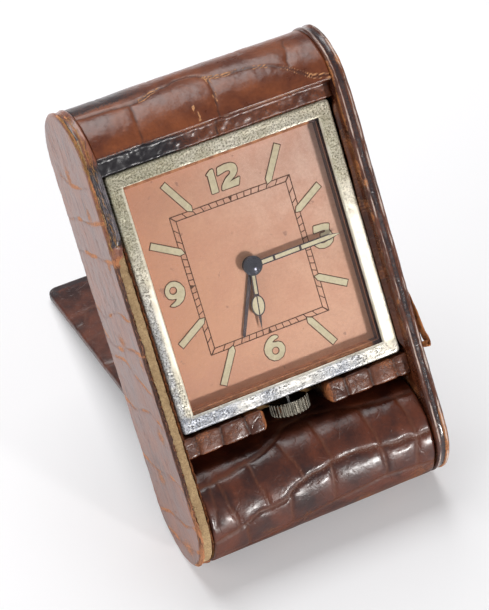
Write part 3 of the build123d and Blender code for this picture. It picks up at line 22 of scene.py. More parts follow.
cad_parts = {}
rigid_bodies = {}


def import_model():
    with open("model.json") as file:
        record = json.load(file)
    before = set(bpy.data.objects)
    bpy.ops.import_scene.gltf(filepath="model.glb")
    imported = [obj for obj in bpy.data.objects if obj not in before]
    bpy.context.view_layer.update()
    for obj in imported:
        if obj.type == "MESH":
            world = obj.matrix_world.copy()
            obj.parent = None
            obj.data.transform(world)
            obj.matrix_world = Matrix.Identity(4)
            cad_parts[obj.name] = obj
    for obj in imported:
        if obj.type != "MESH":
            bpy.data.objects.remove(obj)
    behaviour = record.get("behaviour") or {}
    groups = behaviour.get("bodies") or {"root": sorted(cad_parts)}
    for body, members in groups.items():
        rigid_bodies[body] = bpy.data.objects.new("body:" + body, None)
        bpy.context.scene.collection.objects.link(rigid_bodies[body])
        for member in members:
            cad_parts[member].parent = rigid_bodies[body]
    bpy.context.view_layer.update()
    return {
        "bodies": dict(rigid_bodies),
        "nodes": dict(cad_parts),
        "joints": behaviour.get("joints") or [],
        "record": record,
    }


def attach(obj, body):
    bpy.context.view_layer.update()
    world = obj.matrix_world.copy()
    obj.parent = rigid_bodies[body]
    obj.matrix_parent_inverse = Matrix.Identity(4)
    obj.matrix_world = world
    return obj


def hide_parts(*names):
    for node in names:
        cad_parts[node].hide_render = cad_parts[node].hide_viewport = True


log = logging.getLogger("travel_clock")

MM = 0.001
OPEN_ANGLE = 66.8037   # degrees between the closed cover and the leg that it is in the photograph
REBATE_DROP = 0.2      # the strip over the bezel lies this much below its face
RAIL_GAP = 2.0         # from the bezel's lower edge to the rail
RAIL_FOOT = 5.6        # from the bezel's lower edge to the rail's foot
NOTCH_HALF = 8.2       # half the width of the notch for the crown
LEATHER = 0.7          # thickness of the leather in the CAD

Point = tuple[float, float]
Marks = dict[str, np.ndarray]
Colour = tuple[float, float, float, float]


# Colours and finishes


def paint(red: float, green: float, blue: float) -> Colour:
    """Turn screen values from 0 to 255 into a linear colour for a shader.

    Args:
        red: Red from 0 to 255.
        green: Green from 0 to 255.
        blue: Blue from 0 to 255.

    Returns:
        The linear colour, with full alpha.
    """
    def linear(value: float) -> float:
        """Linear light of one screen value."""
        share = value / 255.0
        return share / 12.92 if share <= 0.04045 else ((share + 0.055) / 1.055) ** 2.4

    return linear(red), linear(green), linear(blue), 1.0


class Slot(Enum):
    """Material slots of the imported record."""

    CROCODILE = "crocodile_leather"
    LINING = "lining_leather"
    BOARD = "board"
    WOOD = "wood"
    NICKEL = "nickel"
    CRYSTAL = "crystal"
    COPPER_WALL = "copper_wall"
    COPPER_DIAL = "copper_dial"
    LUME = "luminous_paint"
    HAND_STEEL = "hand_steel"
    STEEL = "steel"
    BRASS = "brass"


class Shader:
    """One material and the nodes that make it."""

    def __init__(self, name: str) -> None:
        """Start a material with a Principled shader.

        Args:
            name: Name of the material.
        """
        self.material = bpy.data.materials.new(name)
        self.material.use_nodes = True
        self.nodes = self.material.node_tree.nodes
        self.links = self.material.node_tree.links
        self.body = self.nodes["Principled BSDF"]
        self.output = self.nodes["Material Output"]

    def add(self, kind: str, **settings: object) -> bpy.types.Node:
        """Add a node of one kind and set its own properties.

        Args:
            kind: Node type without its ShaderNode prefix.
            **settings: Properties of the node.

        Returns:
            The new node.
        """
        node = self.nodes.new("ShaderNode" + kind)
        for name, value in settings.items():
            setattr(node, name, value)
        return node

    def feed(self, socket: bpy.types.NodeSocket, value: object) -> None:
        """Link a socket to another one, or set it to a plain value."""
        if isinstance(value, bpy.types.NodeSocket):
            self.links.new(value, socket)
        else:
            socket.default_value = value

    def place(self) -> bpy.types.NodeSocket:
        """Coordinates that stay with the object, in metres."""
        return self.add("TexCoord").outputs["Object"]

    def mark(self, name: str, channel: str = "Fac") -> bpy.types.NodeSocket:
        """Read what the mesh stores at its points under one name."""
        return self.add("Attribute", attribute_name=name).outputs[channel]

    def stretched(self, vector: bpy.types.NodeSocket, scale: Sequence[float],
                  turn: Sequence[float] = (0.0, 0.0, 0.0)) -> bpy.types.NodeSocket:
        """Scale and turn coordinates, for a pattern that is longer one way.

        Args:
            vector: Coordinates.
            scale: Factor along each axis.
            turn: Angle about each axis, in radians.

        Returns:
            The output.
        """
        node = self.add("Mapping")
        self.feed(node.inputs["Vector"], vector)
        node.inputs["Scale"].default_value = scale
        node.inputs["Rotation"].default_value = turn
        return node.outputs["Vector"]

    def noise(self, vector: bpy.types.NodeSocket, scale: float, detail: float = 3.0,
              roughness: float = 0.55, distortion: float = 0.0) -> bpy.types.NodeSocket:
        """Cloudy noise.

        Args:
            vector: Coordinates.
            scale: Features for each unit of the coordinates.
            detail: Octaves.
            roughness: How much each octave adds.
            distortion: How far the clouds are pulled about.

        Returns:
            A value around a half.
        """
        node = self.add("TexNoise")
        self.feed(node.inputs["Vector"], vector)
        node.inputs["Scale"].default_value = scale
        node.inputs["Detail"].default_value = detail
        node.inputs["Roughness"].default_value = roughness
        node.inputs["Distortion"].default_value = distortion
        return node.outputs["Fac"]

    def cells(self, vector: bpy.types.NodeSocket, scale: float, edges: bool = True,
              loose: float = 1.0) -> bpy.types.NodeSocket:
        """Distance to the edges of random cells, or to their middles.

        Args:
            vector: Coordinates.
            scale: Cells for each unit of the coordinates.
            edges: Whether to measure from the edges.
            loose: How irregular the cells are.

        Returns:
            The distance.
        """
        node = self.add("TexVoronoi", feature="DISTANCE_TO_EDGE" if edges else "F1")
        self.feed(node.inputs["Vector"], vector)
        node.inputs["Scale"].default_value = scale
        node.inputs["Randomness"].default_value = loose
        return node.outputs["Distance"]

    def span(self, value: bpy.types.NodeSocket, low: float, high: float,
             to_low: float = 0.0, to_high: float = 1.0) -> bpy.types.NodeSocket:
        """Stretch the values between two limits over a new range, smoothly.

        Args:
            value: What to stretch.
            low: Value that gives to_low.
            high: Value that gives to_high.
            to_low: Result at low.
            to_high: Result at high.

        Returns:
            The stretched value.
        """
        node = self.add("MapRange", interpolation_type="SMOOTHSTEP")
        self.feed(node.inputs["Value"], value)
        node.inputs["From Min"].default_value = low
        node.inputs["From Max"].default_value = high
        node.inputs["To Min"].default_value = to_low
        node.inputs["To Max"].default_value = to_high
        return node.outputs["Result"]

    def along(self, where: bpy.types.NodeSocket, way: Sequence[float],
              start: Sequence[float]) -> bpy.types.NodeSocket:
        """How far places lie from a start along a direction, in metres.

        Args:
            where: Places.
            way: Direction.
            start: Place to measure from.

        Returns:
            The output.
        """
        offset = self.add("VectorMath", operation="SUBTRACT")
        self.feed(offset.inputs[0], where)
        offset.inputs[1].default_value = start
        dot = self.add("VectorMath", operation="DOT_PRODUCT")
        self.feed(dot.inputs[0], offset.outputs[0])
        dot.inputs[1].default_value = way
        return dot.outputs["Value"]

    def add_ridge(self, value: bpy.types.NodeSocket, middle: float, reach: float) -> bpy.types.NodeSocket:
        """A peak of 1 at a middle value, which falls to 0 at a reach to either side."""
        away = self.sum("ABSOLUTE", self.sum("SUBTRACT", value, middle))
        return self.span(away, 0.0, reach, 1.0, 0.0)

    def sum(self, operation: str, first: object, second: object = 0.0) -> bpy.types.NodeSocket:
        """Join two values by one arithmetic operation.

        Args:
            operation: Name of the operation.
            first: First value.
            second: Second value.

        Returns:
            The output.
        """
        node = self.add("Math", operation=operation)
        self.feed(node.inputs[0], first)
        self.feed(node.inputs[1], second)
        return node.outputs[0]

    def mix(self, share: object, first: object, second: object, mode: str = "MIX") -> bpy.types.NodeSocket:
        """Mix two colours.

        Args:
            share: How much of the second colour shows.
            first: First colour.
            second: Second colour.
            mode: Blend mode.

        Returns:
            The mixed colour.
        """
        node = self.add("Mix", data_type="RGBA", blend_type=mode)
        self.feed(node.inputs[0], share)
        self.feed(node.inputs[6], first)
        self.feed(node.inputs[7], second)
        return node.outputs[2]

    def bump(self, height: bpy.types.NodeSocket, depth_mm: float,
             before: bpy.types.NodeSocket | None = None, strength: float = 1.0) -> bpy.types.NodeSocket:
        """Raise the surface by a height.

        Args:
            height: Height from 0 to 1.
            depth_mm: Millimetres that a height of 1 stands for.
            before: Normal that this bump adds to.
            strength: Share of the bump that shows.

        Returns:
            The bumped normal.
        """
        node = self.add("Bump")
        node.inputs["Strength"].default_value = strength
        node.inputs["Distance"].default_value = depth_mm * MM
        self.feed(node.inputs["Height"], height)
        if before is not None:
            self.feed(node.inputs["Normal"], before)
        return node.outputs["Normal"]

    def set(self, **values: object) -> Shader:
        """Set or link inputs of the Principled shader, with _ for a space in a name."""
        for name, value in values.items():
            self.feed(self.body.inputs[name.replace("_", " ")], value)
        return self


@dataclass(frozen=True)
class LeatherFinish:
    """Worn crocodile leather: its colours, its gloss and how far it has cracked."""

    name: str
    dark: Colour
    light: Colour
    groove: Colour
    rub: Colour = paint(196, 138, 90)
    stain_and_shade: Colour = paint(30, 26, 32)
    scuff_and_glint: Colour = paint(190, 176, 172)
    gloss: float = 0.32
    coat: float = 0.2
    coat_gloss: float = 0.2
    crack_mm: float = 2.4
    crack_depth: float = 0.05
    crack_dark: float = 0.3
    streak: float = 0.0
    shine: float = 0.36
    scuff_way: tuple[float, float, float] = (0.45, 2.2, 1.0)

    def make(self) -> bpy.types.Material:
        """Build the material, which reads groove, rub, stain, scuff and flat from the mesh; stain also
        carries painted shade and scuff painted glints in some places.

        Returns:
            The material.
        """
        s = Shader(self.name)
        flat = s.mark("flat", "Vector")
        blotch = s.span(s.noise(flat, 0.1, 4.0, 0.6, 0.3), 0.3, 0.7)
        fine = s.noise(flat, 1.3, 5.0, 0.65)
        flecks = s.noise(flat, 2.2, 6.0, 0.72, 0.5)
        centred = s.sum("SUBTRACT", flecks, 0.5)
        colour = s.mix(blotch, self.dark, self.light)
        deeper = s.mix(1.0, colour, (0.55, 0.5, 0.5, 1.0), "MULTIPLY")
        colour = s.mix(s.span(fine, 0.35, 0.75, 0.0, 0.5), colour, deeper)
        along = s.noise(s.stretched(flat, (1.1, 0.03, 1.0)), 2.0, 2.0, 0.5, 0.2)
        line = s.sum("MULTIPLY", s.span(along, 0.6, 0.64), self.streak)
        colour = s.mix(line, colour, self.groove)
        cracks = s.cells(s.stretched(flat, (1.0, 0.55, 1.0)), 1.0 / self.crack_mm)
        wander = s.noise(flat, 0.5, 3.0, 0.6, 0.6)
        crack = s.sum("MULTIPLY", s.span(cracks, 0.0, 0.07, 1.0, 0.0), s.span(wander, 0.45, 0.65))
        colour = s.mix(s.sum("MULTIPLY", crack, self.crack_dark), colour, self.groove)
        # The groove mark darkens the joints between scales; on the left rim's torn band it is partly painted
        # shade.
        groove = s.sum("MULTIPLY", s.mark("groove"), s.span(fine, 0.25, 0.6, 0.45, 1.0))
        colour = s.mix(groove, colour, self.groove)
        rub = s.span(s.sum("ADD", s.mark("rub"), centred), 0.4, 0.66)
        worn = s.mix(s.span(fine, 0.35, 0.65), self.rub, s.mix(0.6, self.rub, self.dark))
        colour = s.mix(rub, colour, worn)
        # The stain mark lays a dark colour: real stains, and painted shade under the roll's crease, along the
        # roll's lower edge and in the right rim's valley.
        soil_and_shade = s.sum("ADD", s.mark("stain_and_shade"), s.sum("MULTIPLY", centred, 1.6))
        colour = s.mix(s.span(soil_and_shade, 0.3, 0.8), colour, self.stain_and_shade)
        # The scuff mark lays a pale colour: real scuffs, and painted glints along the right rim's ridges.
        lines = s.noise(s.stretched(flat, self.scuff_way), 2.6, 6.0, 0.75, 0.8)
        hairs = s.sum("MULTIPLY", s.sum("SUBTRACT", lines, 0.5), 3.4)
        scuffed = s.span(s.sum("ADD", s.mark("scuff_and_glint"), hairs), 0.75, 1.25)
        scuff_and_glint = s.sum("MULTIPLY", scuffed, s.span(s.mark("scuff_and_glint"), 0.0, 0.3))
        colour = s.mix(s.sum("MULTIPLY", scuff_and_glint, 0.8), colour, self.scuff_and_glint)
        matt = s.sum("MAXIMUM", rub, s.sum("MAXIMUM", scuff_and_glint, groove))
        rough = s.sum("ADD", s.span(blotch, 0.0, 1.0, self.gloss, self.gloss + 0.1),
                      s.sum("MULTIPLY", matt, 0.25))
        normal = s.bump(s.noise(flat, 0.6, 3.0, 0.5), 0.1)
        normal = s.bump(s.sum("SUBTRACT", 1.0, crack), self.crack_depth, normal)
        normal = s.bump(s.noise(flat, 4.5, 4.0, 0.6), 0.02, normal)
        normal = s.bump(s.sum("MULTIPLY", s.sum("MAXIMUM", rub, scuff_and_glint), flecks), 0.07, normal)
        s.set(Base_Color=colour, Roughness=rough, Normal=normal, Specular_IOR_Level=self.shine)
        s.set(Coat_Weight=s.span(matt, 0.0, 0.8, self.coat, 0.0), Coat_Roughness=self.coat_gloss)
        return s.material


@dataclass(frozen=True)
class FibreFinish:
    """Raw board or torn leather: matt, with short fibres lying along it."""

    name: str
    dark: Colour
    light: Colour
    scale_mm: float = 0.5
    depth_mm: float = 0.12

    def make(self) -> bpy.types.Material:
        """Build the material from coordinates that stay with the object.

        Returns:
            The material.
        """
        s = Shader(self.name)
        where = s.place()
        grain = s.noise(where, 1.0 / (self.scale_mm * MM), 6.0, 0.7, 0.6)
        clouds = s.noise(where, 0.25 / (self.scale_mm * MM), 3.0, 0.6)
        colour = s.mix(s.span(grain, 0.3, 0.7), self.dark, self.light)
        colour = s.mix(s.span(clouds, 0.35, 0.65, 0.0, 0.4), colour, self.dark)
        normal = s.bump(grain, self.depth_mm)
        s.set(Base_Color=colour, Roughness=0.85, Normal=normal, Specular_IOR_Level=0.25)
        return s.material


@dataclass(frozen=True)
class MetalFinish:
    """Metal with a worn, slightly cloudy surface."""

    name: str
    colour: Colour
    patina_and_shade: Colour
    gloss: float = 0.3
    cloud_mm: float = 4.0
    patina_and_shade_share: float = 0.4
    speckle: float = 0.0
    metallic: float = 1.0

    def make(self) -> bpy.types.Material:
        """Build the material from coordinates that stay with the object.

        Returns:
            The material.
        """
        s = Shader(self.name)
        where = s.place()
        clouds = s.noise(where, 1.0 / (self.cloud_mm * MM), 5.0, 0.65, 0.4)
        grain = s.noise(where, 3500.0, 3.0, 0.6)
        share = s.sum("MULTIPLY", s.span(clouds, 0.35, 0.7), self.patina_and_shade_share)
        colour = s.mix(share, self.colour, self.patina_and_shade)
        specks = s.sum("MULTIPLY", s.span(s.noise(where, 1500.0, 2.0, 0.6), 0.56, 0.66), self.speckle)
        colour = s.mix(specks, colour, s.mix(0.7, self.patina_and_shade, paint(20, 18, 16)))
        rough = s.sum("ADD", s.span(clouds, 0.3, 0.7, self.gloss, self.gloss + 0.15),
                      s.sum("MULTIPLY", specks, 0.3))
        s.set(Base_Color=colour, Roughness=rough, Metallic=self.metallic, Normal=s.bump(grain, 0.012))
        return s.material


def bezel_finish() -> bpy.types.Material:
    """Worn nickel plate speckled with olive and grey patina on its face, with painted highlights round its
    window.

    Returns:
        The material.
    """
    s = Shader("worn_nickel_bezel")
    flat = s.mark("flat", "Vector")
    clouds = s.noise(flat, 0.14, 4.0, 0.6, 0.4)
    patches = s.noise(flat, 0.55, 4.0, 0.65, 0.5)
    grain = s.noise(flat, 2.1, 5.0, 0.85, 0.2)
    specks = s.span(grain, 0.5, 0.57)
    base = s.mix(s.span(clouds, 0.35, 0.65), paint(226, 220, 206), paint(192, 184, 164))
    base = s.mix(s.sum("MULTIPLY", s.mark("green"), 0.65), base, paint(140, 136, 104))
    hazed = s.sum("MULTIPLY", s.mark("blue"), s.span(patches, 0.3, 0.5, 0.6, 1.0))
    base = s.mix(s.sum("MULTIPLY", hazed, 0.95), base, paint(144, 149, 160))
    grime = s.sum("ADD", s.mark("grime"), s.sum("MULTIPLY", s.sum("SUBTRACT", patches, 0.5), 2.2))
    dirt = s.sum("MULTIPLY", specks, s.span(grime, 0.08, 0.75))
    pale = s.sum("MULTIPLY", s.span(grain, 0.47, 0.4), s.span(grime, 0.1, 0.8))
    base = s.mix(s.sum("MULTIPLY", pale, 0.5), base, paint(228, 222, 204))
    colour = s.mix(s.sum("MULTIPLY", dirt, 0.78), base, paint(84, 76, 58))
    # Painted highlight: the bright mark lays a near-white colour on the window's chamfers and on the left
    # arm's inner half; on the right arm's lower part it is clean metal with a painted highlight towards the
    # window.
    bright = s.mark("bright")
    colour = s.mix(s.sum("MULTIPLY", bright, 0.85), colour, paint(250, 243, 226))
    rough = s.sum("ADD", s.span(clouds, 0.3, 0.7, 0.34, 0.46), s.sum("MULTIPLY", dirt, 0.3))
    normal = s.bump(s.noise(flat, 0.35, 3.0, 0.5), 0.04)
    normal = s.bump(s.sum("SUBTRACT", 1.0, dirt), 0.03, normal)
    s.set(Base_Color=colour, Roughness=rough, Metallic=0.6, Normal=normal)
    return s.material


def dial_finish() -> bpy.types.Material:
    """Matt copper dial, paler and pinker to the upper right, with faint marks of age.

    Returns:
        The material.
    """
    s = Shader("copper_dial_face")
    where = s.place()
    clouds = s.noise(where, 90.0, 5.0, 0.6, 0.5)
    fine = s.noise(where, 1500.0, 4.0, 0.7)
    across = s.add("SeparateXYZ")
    s.feed(across.inputs[0], where)
    side = s.span(across.outputs["X"], -0.026, 0.028)
    high = s.span(across.outputs["Z"], 0.048, 0.082)
    colour = s.mix(side, paint(188, 130, 93), paint(202, 152, 122))
    pale = s.sum("MULTIPLY", s.sum("MULTIPLY", high, side), 0.6)
    colour = s.mix(pale, colour, paint(206, 176, 164))
    colour = s.mix(s.span(clouds, 0.4, 0.66, 0.0, 0.5), colour, paint(182, 124, 94))
    colour = s.mix(s.span(fine, 0.35, 0.7, 0.0, 0.22), colour, paint(150, 100, 76))
    spots = s.span(s.noise(where, 420.0, 2.0, 0.5), 0.69, 0.75, 0.0, 0.5)
    colour = s.mix(spots, colour, paint(116, 74, 56))
    s.set(Base_Color=colour, Roughness=0.5, Metallic=0.0, Normal=s.bump(fine, 0.01))
    return s.material


def wall_finish(case: CaseFrame) -> bpy.types.Material:
    """Copper wall round the dial, with painted shade on its right side and a painted highlight line under the
    glass.

    Args:
        case: The case's frame.

    Returns:
        The material.
    """
    s = Shader("copper_wall_painted_shade")
    where = s.place()
    depth = s.along(where, case.axes[2], case.origin)
    split = s.add("SeparateXYZ")
    s.feed(split.inputs[0], where)
    clouds = s.noise(where, 500.0, 4.0, 0.6)
    # Painted shade: on its right side the wall is painted a dark purple-brown in place of copper.
    right = s.span(split.outputs["X"], 0.0225, 0.0235)
    copper = s.mix(s.span(clouds, 0.35, 0.65), paint(184, 124, 84), paint(142, 88, 58))
    shade = s.mix(s.span(clouds, 0.35, 0.65), paint(54, 36, 40), paint(74, 50, 46))
    colour = s.mix(right, copper, shade)
    # Painted highlight: a thin bright copper line just under the glass, all round the wall.
    line = s.sum("MULTIPLY", s.span(depth, 0.0084, 0.0086), s.span(depth, 0.00905, 0.00885))
    colour = s.mix(line, colour, paint(176, 118, 80))
    groove = s.span(s.add_ridge(depth, 0.0079, 0.00018), 0.0, 1.0)
    colour = s.mix(groove, colour, paint(70, 42, 32))
    s.set(Base_Color=colour, Roughness=0.34, Metallic=0.35, Normal=s.bump(clouds, 0.01))
    return s.material


def cap_finish() -> bpy.types.Material:
    """Polished blue-black steel of the cap over the hands.

    Returns:
        The material.
    """
    s = Shader("blued_steel_cap")
    clouds = s.noise(s.place(), 800.0, 3.0, 0.6)
    colour = s.mix(s.span(clouds, 0.35, 0.65), paint(24, 26, 38), paint(44, 44, 56))
    s.set(Base_Color=colour, Roughness=0.16, Metallic=0.6, Coat_Weight=0.4, Coat_Roughness=0.08)
    return s.material


def glass_finish() -> bpy.types.Material:
    """Clear crystal that lets light through to the dial.

    Returns:
        The material.
    """
    s = Shader("clear_crystal")
    s.set(Base_Color=(1.0, 1.0, 1.0, 1.0), Roughness=0.01, IOR=1.3, Transmission_Weight=1.0)
    clear = s.add("BsdfTransparent")
    pick = s.add("MixShader")
    path = s.add("LightPath")
    s.feed(pick.inputs[0], s.sum("MAXIMUM", path.outputs["Is Shadow Ray"], path.outputs["Is Diffuse Ray"]))
    s.feed(pick.inputs[1], s.body.outputs[0])
    s.feed(pick.inputs[2], clear.outputs[0])
    s.feed(s.output.inputs["Surface"], pick.outputs[0])
    return s.material


def paint_finish(name: str, colour: Colour,
                 shade: Colour, rough: float = 0.7) -> bpy.types.Material:
    """Aged matt paint.

    Args:
        name: Name of the material.
        colour: Main colour.
        shade: Colour of its darker clouds.
        rough: Roughness.

    Returns:
        The material.
    """
    s = Shader(name)
    where = s.place()
    clouds = s.noise(where, 900.0, 5.0, 0.7)
    colour = s.mix(s.span(clouds, 0.35, 0.7, 0.0, 0.7), colour, shade)
    s.set(Base_Color=colour, Roughness=rough, Normal=s.bump(clouds, 0.03), Specular_IOR_Level=0.3)
    return s.material


class Finishes:
    """Every material of the clock, made once and shared."""

    def __init__(self, case: CaseFrame) -> None:
        """Make the materials.

        Args:
            case: The case's frame, for finishes that change along it.
        """
        self.roll = LeatherFinish("roll_leather", paint(88, 42, 25), paint(130, 70, 38), paint(42, 22, 17),
                                  paint(206, 150, 102), gloss=0.27, coat=0.15, crack_dark=0.0,
                                  crack_depth=0.0).make()
        self.cheek = LeatherFinish("cheek_leather", paint(116, 64, 46), paint(154, 94, 68),
                                   paint(58, 36, 32), paint(216, 146, 98), gloss=0.36, coat=0.6,
                                   coat_gloss=0.26, crack_mm=3.0, crack_dark=0.2, streak=0.85, shine=0.45,
                                   scuff_and_glint=paint(176, 168, 174), scuff_way=(2.4, 0.1, 1.0)).make()
        # The rim leather's pale scuff colour also paints the glints along the right rim's ridges.
        self.rim = LeatherFinish("rim_leather", paint(62, 30, 22), paint(112, 60, 36), paint(40, 22, 18),
                                 paint(196, 128, 76), scuff_and_glint=paint(216, 196, 184), gloss=0.22, coat=0.4,
                                 coat_gloss=0.14, crack_mm=1.8, crack_depth=0.08,
                                 scuff_way=(2.4, 0.12, 1.0)).make()
        self.drum = LeatherFinish("cover_leather_brown", paint(46, 20, 18), paint(100, 48, 28),
                                  paint(96, 54, 35), paint(158, 98, 58), scuff_and_glint=paint(206, 192, 186),
                                  gloss=0.3, coat=0.2, coat_gloss=0.18, crack_depth=0.05,
                                  crack_dark=0.15, scuff_way=(1.3, 1.7, 1.0)).make()
        self.lip = LeatherFinish("lip_leather", paint(70, 34, 22), paint(120, 66, 38), paint(40, 22, 16),
                                 paint(178, 108, 62), gloss=0.27, coat=0.2, coat_gloss=0.16,
                                 crack_dark=0.2).make()
        self.torn = FibreFinish("torn_leather", paint(34, 20, 14), paint(150, 84, 42), 0.7, 0.15).make()
        self.fibre = FibreFinish("torn_fibres_tan", paint(150, 104, 60), paint(214, 170, 112), 0.5,
                                 0.08).make()
        self.flap = FibreFinish("peeled_leather", paint(84, 44, 26), paint(196, 126, 72), 1.4, 0.08).make()
        self.board = FibreFinish("pressed_board", paint(146, 118, 86), paint(204, 176, 134), 0.45, 0.1).make()
        self.bezel = bezel_finish()
        # On the crown the heavy dark clouds are painted shade from the bezel above it.
        self.crown = MetalFinish("crown_nickel", paint(172, 166, 152), paint(46, 40, 34), 0.13, 1.5,
                                 0.7).make()
        self.cap = cap_finish()
        self.lume = paint_finish("aged_lume", paint(210, 200, 168), paint(188, 176, 144), 0.8)
        self.outline = paint_finish("brown_outline", paint(92, 54, 28), paint(56, 32, 18), 0.7)
        self.by_slot: dict[Slot, bpy.types.Material] = {
            Slot.CROCODILE: self.rim,
            Slot.LINING: FibreFinish("plain_lining", paint(58, 32, 28), paint(96, 58, 48), 0.8, 0.06).make(),
            Slot.BOARD: self.board,
            Slot.WOOD: FibreFinish("raw_wood", paint(122, 90, 56), paint(170, 134, 90), 0.9, 0.08).make(),
            Slot.NICKEL: self.crown,
            Slot.CRYSTAL: glass_finish(),
            Slot.COPPER_WALL: wall_finish(case),
            Slot.COPPER_DIAL: dial_finish(),
            Slot.LUME: self.lume,
            Slot.HAND_STEEL: MetalFinish("dark_hand_steel", paint(60, 52, 52), paint(30, 28, 36), 0.28, 1.2,
                                         0.7).make(),
            Slot.STEEL: MetalFinish("polished_steel", paint(196, 198, 202), paint(130, 132, 138), 0.2, 2.0,
                                    0.5).make(),
            Slot.BRASS: MetalFinish("wheel_brass", paint(214, 178, 104), paint(150, 112, 60), 0.26, 3.0,
                                    0.5).make(),
        }


# The case's frame and mesh making


class CaseFrame:
    """The case's own millimetres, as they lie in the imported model."""

    def __init__(self, frame: dict) -> None:
        """Read the frame from the joints of the hands and of the hinge.
        """
        joints = {joint["name"]: joint for joint in frame["joints"]}
        hands, hinge = joints["minute_hand_turn"], joints["cover_fold"]
        out = -Vector(hands["axis"]).normalized()
        right = Vector((1.0, 0.0, 0.0))
        up = out.cross(right)
        dial, drum = Vector(hands["pos_m"]), Vector(hinge["pos_m"])
        self.origin = np.array(dial - out * out.dot(dial - drum))
        self.axes = np.array([right, up, out])
        self.nodes = frame["nodes"]

    def place(self, points: np.ndarray) -> np.ndarray:
        """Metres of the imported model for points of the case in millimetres."""
        return self.origin + (np.asarray(points, float) * MM) @ self.axes

    def extent(self, node: str) -> tuple[np.ndarray, np.ndarray]:
        """Lowest and highest corner of a CAD node, in the case's millimetres.

        Args:
            node: Name of the node.

        Returns:
            The two corners.
        """
        mesh = self.nodes[node].data
        points = np.empty(len(mesh.vertices) * 3)
        mesh.vertices.foreach_get("co", points)
        local = (points.reshape(-1, 3) - self.origin) @ self.axes.T / MM
        return local.min(axis=0), local.max(axis=0)


@dataclass
class CaseSizes:
    """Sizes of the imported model, in the case's millimetres."""

    flange_radius: float
    flange_top: float
    flange_bottom: float
    outer_x: float
    board_outer_x: float
    board_inner_x: float
    inner_x: float
    board_radius: float
    foot_y: float
    rebate_z: float
    back_low_y: float
    rail_top: float
    rail_bottom: float
    rail_front: float
    notch: float
    drum_y: float
    drum_radius: float
    cover_half: float
    bezel_half: Point
    bezel_front: float
    bezel_back: float
    window_half: Point
    glass_front: float
    dial_front: float

    @classmethod
    def read(cls, case: CaseFrame, joints: list[dict]) -> CaseSizes:
        """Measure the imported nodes.

        Args:
            case: The case's frame.
            joints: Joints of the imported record.

        Returns:
            The sizes.
        """
        lining_low, lining_high = case.extent("flange_lining_right")
        leather_high = case.extent("flange_leather_right")[1]
        board_low, board_high = case.extent("flange_board_right")
        roll_low = case.extent("top_roll_leather")[0]
        rail_high = case.extent("rail_leather")[1]
        bezel_low, bezel_high = case.extent("bezel")
        frame_high = case.extent("dial_frame")[1]
        drum_low = case.extent("drum_core")[0]
        fold = next(joint for joint in joints if joint["name"] == "cover_fold")
        drum_y = float((np.array(fold["pos_m"]) - case.origin) @ case.axes[1] / MM)
        radius = float(lining_high[2])
        return cls(
            flange_radius=radius,
            flange_top=float(lining_high[1]) - radius,
            flange_bottom=float(lining_low[1]) + radius,
            outer_x=float(leather_high[0]),
            board_outer_x=float(board_high[0]),
            board_inner_x=float(board_low[0]),
            inner_x=float(lining_low[0]),
            board_radius=float(board_high[2]),
            foot_y=float(roll_low[1]),
            rebate_z=float(bezel_high[2]) - REBATE_DROP,
            back_low_y=float(case.extent("back_leather")[0][1]),
            rail_top=-float(bezel_high[1]) - RAIL_GAP,
            rail_bottom=-float(bezel_high[1]) - RAIL_FOOT,
            rail_front=float(rail_high[2]),
            notch=NOTCH_HALF,
            drum_y=drum_y,
            drum_radius=drum_y - float(drum_low[1]) + LEATHER,
            cover_half=float(case.extent("drum_core")[1][0]),
            bezel_half=(float(bezel_high[0]), float(bezel_high[1])),
            bezel_front=float(bezel_high[2]),
            bezel_back=float(bezel_low[2]),
            window_half=(float(frame_high[0]), float(frame_high[1])),
            glass_front=float(case.extent("glass")[1][2]),
            dial_front=float(case.extent("dial")[1][2]),
        )


def lattice_noise(points: np.ndarray, size: float, seed: int = 0) -> np.ndarray:
    """Smooth noise that is the same on every run.

    Args:
        points: Places, one row each, of two or three numbers.
        size: Length over which the noise changes.
        seed: Chooses one of many such noises.

    Returns:
        One value from -1 to 1 for each place.
    """
    points = np.asarray(points, float)
    if points.shape[-1] == 2:
        points = np.concatenate([points, np.zeros(points.shape[:-1] + (1,))], axis=-1)
    scaled = points / size + 100.0
    cell = np.floor(scaled).astype(np.int64)
    part = scaled - cell
    part = part * part * (3.0 - 2.0 * part)
    total = np.zeros(points.shape[:-1])
    for corner in range(8):
        step = np.array([corner & 1, corner >> 1 & 1, corner >> 2 & 1])
        key = cell + step
        mixed = key[..., 0] * 73856093 ^ key[..., 1] * 19349663 ^ key[..., 2] * 83492791 ^ seed * 2654435761
        mixed = (mixed ^ (mixed >> 13)) * 1274126177 & 0x7FFFFFFF
        value = (mixed ^ (mixed >> 16)) % 65536 / 32767.5 - 1.0
        weight = np.prod(np.where(step == 1, part, 1.0 - part), axis=-1)
        total += value * weight
    return total


def rough_noise(points: np.ndarray, size: float, seed: int = 0, octaves: int = 3) -> np.ndarray:
    """Several octaves of lattice_noise, each half as large and half as strong.

    Args:
        points: Places, one row each.
        size: Length over which the first one changes.
        seed: Chooses one of many such noises.
        octaves: How many are added.

    Returns:
        One value for each place.
    """
    total = np.zeros(np.asarray(points).shape[:-1])
    for octave in range(octaves):
        total += lattice_noise(points, size / 2 ** octave, seed + octave) / 2 ** octave
    return total


